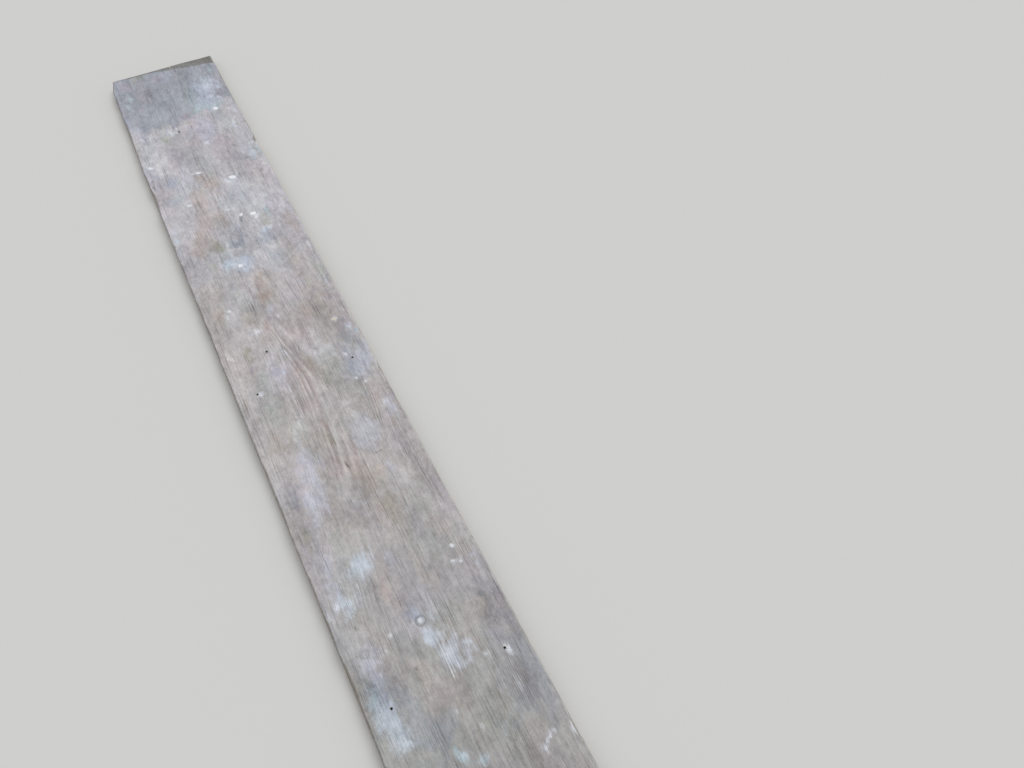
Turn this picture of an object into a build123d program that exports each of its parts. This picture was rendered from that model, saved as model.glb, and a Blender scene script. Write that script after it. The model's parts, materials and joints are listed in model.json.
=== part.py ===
from build123d import *

import os

# An old wide floorboard, one length of plain-sawn pine with square edges.
# Millimetres. +X runs along the board to its skew-sawn end, +Y across it to its left edge,
# +Z up to the walked-on face. The origin is the middle of the underside.
# Places along the board are measured back from the tip of the skew-sawn end, and places
# across it inwards from its left or its right edge.

# The stock
length = 2400.0
width = 280.0
thickness = 25.0

# The skew-sawn end
end_skew = 10.0
narrowing = 6.0
narrowing_length = 430.0
lost_corner_along = 44.0
lost_corner_across = 8.0

# Arrises: walked round on the face, as sawn below
face_arris_radius = 3.0
sawn_arris = 0.8
end_arris = 1.2

# The hollow that feet have worn across the face
wear_depth = 0.8
wear_margin = 14.0

# The split-off corner of the face, at the right of the skew-sawn end
split_along = 48.0
split_across = 92.0
split_depth = 3.0

# The drying check that runs in from the end
check_from_left = 164.0
check_length = 62.0
check_mouth = 1.4
check_depth = 16.0

# Nail holes go right through, with a mouth where each head was driven below the face
nail_hole_radius = 1.7
nail_mouth_radius = 3.2
nail_mouth_depth = 1.4
nail_from_left = 42.0
nail_from_right = 41.0

# Joists with a nail near each edge, counted back from the first
first_joist = 1157.0
joist_pitch = 328.0
nailed_joists = [0, 2, 3]

# Nail holes apart from the joist rows: back from the end, in from the left edge
stray_nails = [
    (294.0, 117.0),
    (1064.0, 91.0),
]

# Slivers broken off the face arrises: back from the end, length, width, depth
left_slivers = [
    (521.0, 110.0, 7.0, 9.0),
    (847.0, 30.0, 3.5, 5.0),
    (1649.0, 90.0, 4.0, 6.0),
    (1755.0, 120.0, 5.0, 8.0),
    (2160.0, 70.0, 4.5, 7.0),
]
right_slivers = [
    (345.0, 60.0, 3.5, 6.0),
    (404.0, 34.0, 7.0, 14.0),
    (1209.0, 42.0, 4.0, 8.0),
    (1968.0, 56.0, 4.0, 6.0),
]

# How far a cutting shape runs past the stock, so that no two faces coincide
overrun = 1.0

tip = length / 2
left = width / 2
right = -width / 2


def at(back, in_from_left):
    """The place that lies this far back from the tip and in from the left edge."""
    return tip - back, left - in_from_left


def section(x, left_edge):
    """The board's section at x: worn round at the face's arrises and hollow where feet went."""
    corner = face_arris_radius
    bend = corner * (1 - 2**-0.5)
    left_foot = (left_edge, sawn_arris)
    left_top = (left_edge - corner, thickness)
    right_top = (right + corner, thickness)
    right_foot = (right, sawn_arris)
    wear_left = (left_edge - wear_margin, thickness)
    wear_middle = ((left_edge + right) / 2, thickness - wear_depth)
    wear_right = (right + wear_margin, thickness)
    profile = [
        Polyline((right + sawn_arris, 0), (left_edge - sawn_arris, 0), left_foot),
        Line(left_foot, (left_edge, thickness - corner)),
        ThreePointArc((left_edge, thickness - corner), (left_edge - bend, thickness - bend), left_top),
        Line(left_top, wear_left),
        ThreePointArc(wear_left, wear_middle, wear_right),
        Line(wear_right, right_top),
        ThreePointArc(right_top, (right + bend, thickness - bend), (right, thickness - corner)),
        Polyline((right, thickness - corner), right_foot, (right + sawn_arris, 0)),
    ]
    return Plane.YZ.offset(x) * make_face(profile)


def planed_board():
    """The full section along the board, drawing in on the left towards the skew end."""
    return loft(
        [
            section(-tip, left),
            section(tip - narrowing_length, left),
            section(tip, left - narrowing),
        ],
        ruled=True,
    )


def slab_beyond(a, b, c, outwards):
    """A thick slab whose near face holds three points, on the side that outwards points to."""
    along = (b - a).normalized()
    normal = along.cross(c - a).normalized()
    if normal.dot(outwards) < 0:
        normal = normal * -1
    reach = 2 * width
    slab = Pos(0, 0, reach / 2) * Box(reach, reach, reach)
    return Plane(origin=(a + b) * 0.5, x_dir=along, z_dir=normal) * slab


def waste_beyond_skew_cut():
    """What the skew saw cut, the lost corner and the worn end arris take off the far end."""
    end_left = Vector(tip - end_skew, left, 0)
    end_right = Vector(tip, right, 0)
    rise = Vector(0, 0, thickness)
    away = Vector(1, 0, 0)
    along_end = (end_left - end_right).normalized()
    corner_on_edge = end_left + Vector(-lost_corner_along, -narrowing, 0)
    corner_on_end = end_left - along_end * (narrowing + lost_corner_across)
    inwards = Vector(-end_arris, 0, 0)
    dropped = rise - Vector(0, 0, end_arris)
    return [
        slab_beyond(end_left, end_right, end_left + rise, away),
        slab_beyond(corner_on_edge, corner_on_end, corner_on_edge + rise, Vector(1, 1, 0)),
        slab_beyond(end_left + rise + inwards, end_right + rise + inwards, end_left + dropped, away),
    ]


def waste_above_near_arris():
    """The worn arris of the square end."""
    end_left = Vector(-tip, left, thickness)
    end_right = Vector(-tip, right, thickness)
    inwards = Vector(end_arris, 0, 0)
    dropped = Vector(0, 0, -end_arris)
    return slab_beyond(end_left + inwards, end_right + inwards, end_left + dropped, Vector(-1, 0, 0))


def split_corner():
    """The slab above the sloping plane that the split left at the end's right corner."""
    back_edge = Vector(tip - split_along, right, thickness)
    end_edge = Vector(tip, right + split_across, thickness)
    corner = Vector(tip, right, thickness - split_depth)
    return slab_beyond(back_edge, end_edge, corner, Vector(0, 0, 1))


def drying_check():
    """A thin wedge that opens from the check's tip to its mouth in the end."""
    tip_x, check_y = at(check_length, check_from_left)
    mouth_x = tip + overrun
    half_mouth = check_mouth / 2
    corners = [(tip_x, check_y), (mouth_x, check_y + half_mouth), (mouth_x, check_y - half_mouth)]
    wedge = extrude(make_face(Polyline(*corners, close=True)), check_depth + overrun)
    return Pos(0, 0, thickness - check_depth) * wedge


def nail_hole(back, in_from_left):
    """One hole with the mouth that the nail's head left."""
    x, y = at(back, in_from_left)
    shank = Cylinder(nail_hole_radius, thickness + 2 * overrun)
    flare = (nail_mouth_radius - nail_hole_radius) / nail_mouth_depth
    mouth_height = nail_mouth_depth + overrun
    mouth = Cone(nail_hole_radius, nail_hole_radius + flare * mouth_height, mouth_height)
    floor = thickness - nail_mouth_depth
    return Pos(x, y, thickness / 2) * shank + Pos(x, y, floor + mouth_height / 2) * mouth


def nail_places():
    """Every nail hole: a pair at each nailed joist, and the strays."""
    places = list(stray_nails)
    for joist in nailed_joists:
        back = first_joist + joist * joist_pitch
        places.append((back, nail_from_left))
        places.append((back, width - nail_from_right))
    return places


def lost_sliver(back, sliver_length, sliver_width, sliver_depth, side):
    """The scallop that a lost sliver leaves in an arris, widest on the face."""
    mouth_radius = (sliver_length**2 / 4 + sliver_width**2) / (2 * sliver_width)
    floor_radius = mouth_radius - sliver_width
    flare = sliver_width / sliver_depth
    height = sliver_depth + overrun
    cone = Cone(floor_radius, floor_radius + flare * height, height)
    y = side * (width / 2 + floor_radius)
    return Pos(tip - back, y, thickness - sliver_depth + height / 2) * cone


floorboard = planed_board()
for waste in waste_beyond_skew_cut():
    floorboard -= waste
floorboard -= waste_above_near_arris()
floorboard -= split_corner()
floorboard -= drying_check()
for back, in_from_left in nail_places():
    floorboard -= nail_hole(back, in_from_left)
for sliver in left_slivers:
    floorboard -= lost_sliver(*sliver, side=1)
for sliver in right_slivers:
    floorboard -= lost_sliver(*sliver, side=-1)

floorboard.label = "floorboard"
os.makedirs("parts", exist_ok=True)
export_step(floorboard, "parts/floorboard.step")
print("floorboard", len(floorboard.solids()), "solid", round(floorboard.volume), "mm3")
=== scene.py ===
"""The looks of an old pine floorboard: raised grain, worn arrises, nail holes and paint marks.

Sizes are millimetres. A place on the board is given by how far back it lies from the tip of the
skew-sawn end, and how far in from the left edge. A mesh is scaled to metres when it is made.
"""

from __future__ import annotations

import json
import logging
import math
from dataclasses import dataclass, field
from enum import Enum
from functools import cached_property
from typing import TypeVar

import bpy
import numpy as np
from mathutils import Matrix, Vector
from mathutils.geometry import delaunay_2d_cdt


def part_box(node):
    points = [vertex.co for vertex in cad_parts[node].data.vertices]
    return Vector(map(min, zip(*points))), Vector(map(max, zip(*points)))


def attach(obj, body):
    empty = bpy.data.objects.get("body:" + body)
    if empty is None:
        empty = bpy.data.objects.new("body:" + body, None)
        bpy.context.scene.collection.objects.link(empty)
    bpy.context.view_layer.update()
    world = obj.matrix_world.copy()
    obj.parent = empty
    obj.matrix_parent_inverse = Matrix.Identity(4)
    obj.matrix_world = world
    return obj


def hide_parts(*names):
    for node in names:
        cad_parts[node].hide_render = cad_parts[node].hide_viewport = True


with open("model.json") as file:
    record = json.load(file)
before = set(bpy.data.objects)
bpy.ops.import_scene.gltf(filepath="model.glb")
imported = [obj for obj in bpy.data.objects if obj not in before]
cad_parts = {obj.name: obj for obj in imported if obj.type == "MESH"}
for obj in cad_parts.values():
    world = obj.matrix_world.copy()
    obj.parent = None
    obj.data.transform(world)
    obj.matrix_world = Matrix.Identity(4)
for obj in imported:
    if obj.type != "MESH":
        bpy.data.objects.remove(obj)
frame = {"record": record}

MM = 0.001
NODE = "floorboard"
BODY = "root"

log = logging.getLogger("floorboard")


@dataclass(frozen=True)
class Tone:
    """A screen colour, each part of it from 0 to 255."""

    red: int
    green: int
    blue: int

    @property
    def linear(self) -> tuple[float, ...]:
        """The linear colour that a shader takes, with full alpha."""
        parts = [((part / 255 + 0.055) / 1.055) ** 2.4 for part in (self.red, self.green, self.blue)]
        return (*parts, 1.0)


Socket = bpy.types.NodeSocket
Value = Socket | Tone | float | tuple[float, ...]
Pair = tuple[float, float]
Triple = tuple[float, float, float]
Course = tuple[Pair, ...]
Row = TypeVar("Row")


def listed(kind: type[Row], *rows: tuple[float, ...]) -> tuple[Row, ...]:
    """Makes one of a kind from each row, which gives its fields in their order."""
    return tuple(kind(*row) for row in rows)


def smooth_step(value: np.ndarray, low: float, high: float) -> np.ndarray:
    """Goes smoothly from 0 at low to 1 at high."""
    share = np.clip((value - low) / (high - low), 0.0, 1.0)
    return share * share * (3.0 - 2.0 * share)


def put(name: str, data: bpy.types.ID) -> bpy.types.Object:
    """Puts a mesh, a lamp or a camera into the scene.

    Args:
        name: the object's name.
        data: what it shows.

    Returns:
        The object, at the origin.
    """
    made = bpy.data.objects.new(name, data)
    bpy.context.scene.collection.objects.link(made)
    return made


def put_mesh(name: str, points: np.ndarray, faces: list[tuple[int, ...]]) -> bpy.types.Object:
    """Makes a mesh from its points and puts it into the scene.

    Args:
        name: the name of the mesh and of its object.
        points: its points, in millimetres.
        faces: each face's corners, by the points' numbers.

    Returns:
        The object, whose mesh is in metres.
    """
    mesh = bpy.data.meshes.new(name)
    mesh.from_pydata((points * MM).tolist(), [], faces)
    return put(name, mesh)


def keep_numbers(mesh: bpy.types.Mesh, numbers: dict[str, np.ndarray]) -> None:
    """Keeps named numbers on a mesh, one for each of its points."""
    for name, values in numbers.items():
        mesh.attributes.new(name, "FLOAT", "POINT").data.foreach_set("value", values)


@dataclass(frozen=True)
class Unevenness:
    """Smooth seeded unevenness over a plane."""

    seed: int
    step_x: float
    step_y: float
    cells: int = 128

    def at(self, x: np.ndarray, y: np.ndarray) -> np.ndarray:
        """Gives the unevenness at places on the plane.

        Args:
            x: places along the plane's first way.
            y: places along its second way.

        Returns:
            Numbers from 0 to 1, one for each place.
        """
        grid = np.random.default_rng(self.seed).random((self.cells, self.cells))
        across_x = np.asarray(x, float) / self.step_x
        across_y = np.asarray(y, float) / self.step_y
        cell_x = np.floor(across_x).astype(int)
        cell_y = np.floor(across_y).astype(int)
        part_x = smooth_step(across_x - cell_x, 0.0, 1.0)
        part_y = smooth_step(across_y - cell_y, 0.0, 1.0)
        near_x = cell_x % self.cells
        near_y = cell_y % self.cells
        far_x = (cell_x + 1) % self.cells
        far_y = (cell_y + 1) % self.cells
        near = grid[near_x, near_y] * (1 - part_y) + grid[near_x, far_y] * part_y
        far = grid[far_x, near_y] * (1 - part_y) + grid[far_x, far_y] * part_y
        return near * (1 - part_x) + far * part_x


@dataclass(frozen=True)
class Noise:
    """A noise: how far apart its ups and downs are along X, Y and Z, and how much is finer yet."""

    size: Triple | Socket
    detail: float = 2.0
    roughness: float = 0.5


class Weaver:
    """Adds nodes to a shader or geometry tree and links them."""

    def __init__(self, tree: bpy.types.NodeTree) -> None:
        """Starts on an empty tree."""
        self.tree = tree
        tree.nodes.clear()

    def node(
        self, kind: str, feeds: dict[str | int, Value] | None = None, **settings: object
    ) -> bpy.types.Node:
        """Adds a node, sets its properties and feeds its inputs.

        Args:
            kind: the node's type name.
            feeds: what goes into its inputs, by their names or numbers.
            settings: properties by name.

        Returns:
            The new node.
        """
        made = self.tree.nodes.new(kind)
        for name, value in settings.items():
            setattr(made, name, value)
        for key, value in (feeds or {}).items():
            self.feed(made.inputs[key], value)
        return made

    def feed(self, socket: Socket, value: Value) -> None:
        """Links a socket to an input, or sets the input to a plain value.

        Args:
            socket: the input.
            value: an output socket, a number, a tuple or a colour.
        """
        if isinstance(value, Socket):
            self.tree.links.new(value, socket)
        else:
            socket.default_value = value.linear if isinstance(value, Tone) else value

    def math(self, operation: str, first: Value, second: Value = 0.0, third: Value = 0.0) -> Socket:
        """Works out one number from up to three with a Math node."""
        feeds = {0: first, 1: second, 2: third}
        return self.node("ShaderNodeMath", feeds, operation=operation).outputs[0]

    def times(self, first: Value, second: Value) -> Socket:
        """Multiplies two numbers."""
        return self.math("MULTIPLY", first, second)

    def less(self, first: Value, second: Value) -> Socket:
        """Takes the second number off the first."""
        return self.math("SUBTRACT", first, second)

    def plus(self, base: Value, part: Value, factor: Value) -> Socket:
        """Adds a part, times a factor, to a base."""
        return self.math("MULTIPLY_ADD", part, factor, base)

    def vector(
        self, operation: str, first: Value, second: Value, third: Value = (0.0, 0.0, 0.0)
    ) -> Socket:
        """Works out one vector from up to three with a Vector Math node."""
        feeds = {0: first, 1: second, 2: third}
        return self.node("ShaderNodeVectorMath", feeds, operation=operation).outputs["Vector"]

    def length(self, value: Value) -> Socket:
        """Measures a vector."""
        return self.node("ShaderNodeVectorMath", {0: value}, operation="LENGTH").outputs["Value"]

    def in_mm(self, position: Socket) -> Socket:
        """Turns a place in metres into one in millimetres."""
        return self.vector("MULTIPLY", position, (1 / MM,) * 3)

    def turned(self, value: Value, centre: Triple, angle: float) -> Socket:
        """Turns a point about the upright axis through a centre, by an angle in radians."""
        feeds = {"Vector": value, "Center": centre, "Angle": angle}
        return self.node("ShaderNodeVectorRotate", feeds, rotation_type="Z_AXIS").outputs[0]

    def join(self, x: Value, y: Value, z: Value) -> Socket:
        """Joins three numbers into a vector."""
        return self.node("ShaderNodeCombineXYZ", {0: x, 1: y, 2: z}).outputs[0]

    def split(self, value: Value) -> tuple[Socket, ...]:
        """Splits a vector into its three numbers."""
        return tuple(self.node("ShaderNodeSeparateXYZ", {0: value}).outputs)

    def grade(
        self, value: Value, low: Value, high: Value, first: Value = 0.0, last: Value = 1.0
    ) -> Socket:
        """Goes smoothly from first, where value is low, to last, where it is high."""
        feeds = {0: value, 1: low, 2: high, 3: first, 4: last}
        return self.node("ShaderNodeMapRange", feeds, interpolation_type="SMOOTHSTEP").outputs[0]

    def curve(self, value: Value, points: Course) -> Socket:
        """Follows a smooth curve through a few points.

        Args:
            value: the number to look up.
            points: pairs of a number and what it becomes, in order.

        Returns:
            What the number becomes.
        """
        low, high = points[0][0], points[-1][0]
        most = max(result for _, result in points)
        share = self.math("DIVIDE", self.less(value, low), high - low)
        made = self.node("ShaderNodeFloatCurve", {"Value": share})
        line = made.mapping.curves[0]
        while len(line.points) < len(points):
            line.points.new(0.5, 0.5)
        for knot, (number, result) in zip(line.points, points):
            knot.location = ((number - low) / (high - low), result / most)
        made.mapping.update()
        return self.times(made.outputs[0], most)

    def texture(self, place: Value, noise: Noise) -> bpy.types.bpy_prop_collection:
        """Adds a noise texture.

        Args:
            place: the point, in millimetres.
            noise: the noise.

        Returns:
            The texture's outputs.
        """
        feeds = {"Vector": self.vector("DIVIDE", place, noise.size), "Scale": 1.0}
        feeds |= {"Detail": noise.detail, "Roughness": noise.roughness}
        return self.node("ShaderNodeTexNoise", feeds).outputs

    def clouds(self, place: Value, noise: Noise) -> Socket:
        """Finds three independent noises about 0 at a point, as a vector."""
        return self.vector("SUBTRACT", self.texture(place, noise)["Color"], (0.5, 0.5, 0.5))

    def noise(self, place: Value, noise: Noise) -> Socket:
        """Finds one noise about 0.5 at a point."""
        return self.texture(place, noise)["Fac"]

    def ripple(self, place: Value, noise: Noise) -> Socket:
        """Finds one noise about 0 at a point."""
        return self.less(self.noise(place, noise), 0.5)

    def mix(self, share: Value, under: Value, over: Value) -> Socket:
        """Lays a share of one colour over another."""
        feeds = {0: share, 6: under, 7: over}
        return self.node("ShaderNodeMix", feeds, data_type="RGBA", clamp_factor=True).outputs[2]

    def shade(self, tone: Socket | Tone, factor: Value) -> Socket:
        """Makes a colour darker or lighter by a factor."""
        feeds = {0: tone.linear[:3] if isinstance(tone, Tone) else tone, "Scale": factor}
        return self.node("ShaderNodeVectorMath", feeds, operation="SCALE").outputs["Vector"]


class FinishWeaver(Weaver):
    """The Weaver of a new material, which is one plain shader."""

    def __init__(self, name: str) -> None:
        """Starts a material.

        Args:
            name: the material's name.
        """
        self.material = bpy.data.materials.new(name)
        self.material.use_nodes = True
        super().__init__(self.material.node_tree)

    @cached_property
    def place(self) -> Socket:
        """The point that is coloured, in millimetres."""
        return self.in_mm(self.node("ShaderNodeTexCoord").outputs["Object"])

    def number(self, name: str) -> Socket:
        """Reads one of the numbers that are kept on the mesh."""
        return self.node("ShaderNodeAttribute", attribute_name=name).outputs["Fac"]

    def finish(self, feeds: dict[str, Value]) -> bpy.types.Material:
        """Feeds the shader and ends the tree.

        Args:
            feeds: what goes into the shader's inputs, by their names.

        Returns:
            The material.
        """
        shader = self.node("ShaderNodeBsdfPrincipled", feeds)
        self.node("ShaderNodeOutputMaterial", {"Surface": shader.outputs[0]})
        return self.material


SOCKET_KINDS: dict[type, str] = {
    float: "NodeSocketFloat",
    bpy.types.Object: "NodeSocketObject",
    bpy.types.Material: "NodeSocketMaterial",
}


class ShapeWeaver(Weaver):
    """The Weaver of a new Geometry Nodes tree, with named inputs."""

    def __init__(self, name: str, inputs: dict[str, object]) -> None:
        """Starts a tree.

        Args:
            name: the tree's name.
            inputs: the value of each thing that it takes besides its geometry, by name. One is
                the Finish.
        """
        tree = bpy.data.node_groups.new(name, "GeometryNodeTree")
        for way in ("INPUT", "OUTPUT"):
            tree.interface.new_socket("Geometry", in_out=way, socket_type="NodeSocketGeometry")
        self.values = {}
        for label, value in inputs.items():
            kind = next(kind for base, kind in SOCKET_KINDS.items() if isinstance(value, base))
            socket = tree.interface.new_socket(label, in_out="INPUT", socket_type=kind)
            self.values[socket.identifier] = value
        super().__init__(tree)
        self.given = self.node("NodeGroupInput").outputs

    @cached_property
    def position(self) -> Socket:
        """Each point's place, in metres."""
        return self.node("GeometryNodeInputPosition").outputs[0]

    def number(self, name: str) -> Socket:
        """Reads one of the numbers that are kept on the mesh."""
        feeds = {"Name": name}
        return self.node("GeometryNodeInputNamedAttribute", feeds, data_type="FLOAT").outputs["Attribute"]

    def shape_of(self, name: str) -> Socket:
        """Takes the geometry of an object that is one of the inputs."""
        feeds = {"Object": self.given[name]}
        return self.node("GeometryNodeObjectInfo", feeds, transform_space="RELATIVE").outputs["Geometry"]

    def real(self, shape: Socket) -> Socket:
        """Makes copies real."""
        return self.node("GeometryNodeRealizeInstances", {0: shape}).outputs[0]

    def grow(self, shape: Socket, made: bpy.types.Object) -> None:
        """Ends the tree with real copies and their finish, and grows it on an object as a modifier.

        Args:
            shape: the geometry.
            made: the object that the tree works on.
        """
        feeds = {"Geometry": self.real(shape), "Material": self.given["Finish"]}
        dressed = self.node("GeometryNodeSetMaterial", feeds)
        self.node("NodeGroupOutput", {0: dressed.outputs[0]})
        modifier = made.modifiers.new(self.tree.name, "NODES")
        modifier.node_group = self.tree
        for identifier, value in self.values.items():
            modifier[identifier] = value


def settle(made: bpy.types.Object, name: str) -> bpy.types.Object:
    """Turns an object with its modifiers into a plain mesh and removes the object.

    Args:
        made: the object with its modifiers.
        name: the new object's name.

    Returns:
        The plain object, at the origin.
    """
    graph = bpy.context.evaluated_depsgraph_get()
    mesh = bpy.data.meshes.new_from_object(made.evaluated_get(graph), depsgraph=graph)
    mesh.name = name
    plain = put(name, mesh)
    bpy.data.objects.remove(made)
    return plain


@dataclass(frozen=True)
class GrowthRings:
    """The tree's growth rings, as they run through the board: one rule for relief and colour."""

    ring_width: float = 2.8
    pith_across: float = 8.0
    pith_height: float = -70.0
    sideways_wander: float = 26.0
    wander_length: float = 1250.0
    wander_start: float = 350.0
    upright_wander: float = 52.0
    upright_drift: Noise = Noise((620.0, 620.0, 620.0), 1.0)
    wobble: float = 14.0
    wobbling: Noise = Noise((240.0, 50.0, 60.0))
    uneven_widths: float = 3.4
    uneven_years: Noise = Noise((4.3, 1.0, 1.0))
    ripening: Pair = (0.30, 0.88)
    ending: Pair = (0.93, 1.0)
    pale_start: Pair = (0.0, 0.08)
    pale_end: Pair = (0.16, 0.34)

    def pith_offset(self, weave: Weaver, place: Socket) -> tuple[Socket, Socket]:
        """Finds how far a point lies across from and above the wandering pith.

        Args:
            weave: the tree that the nodes go into.
            place: the point, in millimetres.

        Returns:
            The distance across and the distance up.
        """
        x, y, z = weave.split(place)
        turns = weave.times(weave.less(x, self.wander_start), math.tau / self.wander_length)
        upright = weave.ripple(weave.join(x, 0.0, 0.0), self.upright_drift)
        across = weave.less(y, self.pith_across)
        across = weave.plus(across, weave.math("SINE", turns), -self.sideways_wander)
        across = weave.plus(across, weave.ripple(place, self.wobbling), self.wobble)
        above = weave.less(z, self.pith_height)
        return across, weave.plus(above, upright, self.upright_wander)

    def wood(self, weave: Weaver, place: Socket) -> tuple[Socket, Socket, Socket]:
        """Finds the hard dark late wood of each ring and the pale wood that starts the next.

        Args:
            weave: the tree that the nodes go into.
            place: the point, in millimetres.

        Returns:
            How much is late wood, how much is the pale start, and the distance across from the pith.
        """
        across, above = self.pith_offset(weave, place)
        radius = weave.math("SQRT", weave.plus(weave.times(above, above), across, across))
        years = weave.math("DIVIDE", radius, self.ring_width)
        uneven = weave.noise(weave.join(years, 0.0, 0.0), self.uneven_years)
        season = weave.math("FRACT", weave.plus(years, uneven, self.uneven_widths))
        ripe = weave.grade(season, *self.ripening)
        late = weave.times(ripe, weave.grade(season, *self.ending, 1.0, 0.0))
        started = weave.grade(season, *self.pale_start)
        pale = weave.times(started, weave.grade(season, *self.pale_end, 1.0, 0.0))
        return late, pale, across


@dataclass(frozen=True)
class NailHole:
    """One nail hole, by its place on the board."""

    x: float
    y: float


@dataclass(frozen=True)
class Sliver:
    """A sliver that broke off an arris, by its place and greatest size."""

    back: float
    length: float
    width: float
    depth: float


class Tint(Enum):
    """The ways in which the worn face changes colour."""

    PALE = "pale film"
    LILAC = "lilac film"
    HAZE = "blue-grey film"
    GREY = "cool grey film"
    GREEN = "green-grey film"
    OLIVE = "olive stain"
    BROWN = "brown-grey film"
    PLUM = "purple-grey stain"
    TEAL = "teal stain"
    BARE = "wood worn bare"
    RUST = "warm orange wood"
    BLUE = "pale blue paint"
    WHITE = "white paint"
    SMOKE = "dark blue-grey stain"
    GRAIN = "rings that show through"
    DARK = "dirt"


@dataclass(frozen=True)
class Mark:
    """A soft-edged patch on the face, longest along its own turned axis."""

    back: float
    across: float
    along: float
    half_width: float
    strength: float = 1.0
    turn: float = 0.0


@dataclass(frozen=True)
class Dab:
    """A dried spot of paint that stands on the face."""

    back: float
    across: float
    length: float
    width: float
    turn: float = 0.0
    cream: float = 0.0


@dataclass(frozen=True)
class RingMark:
    """The round print of a driven or filled nail head: a dark circle on the face."""

    back: float
    across: float
    radius: float
    half_width: float
    strength: float


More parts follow.
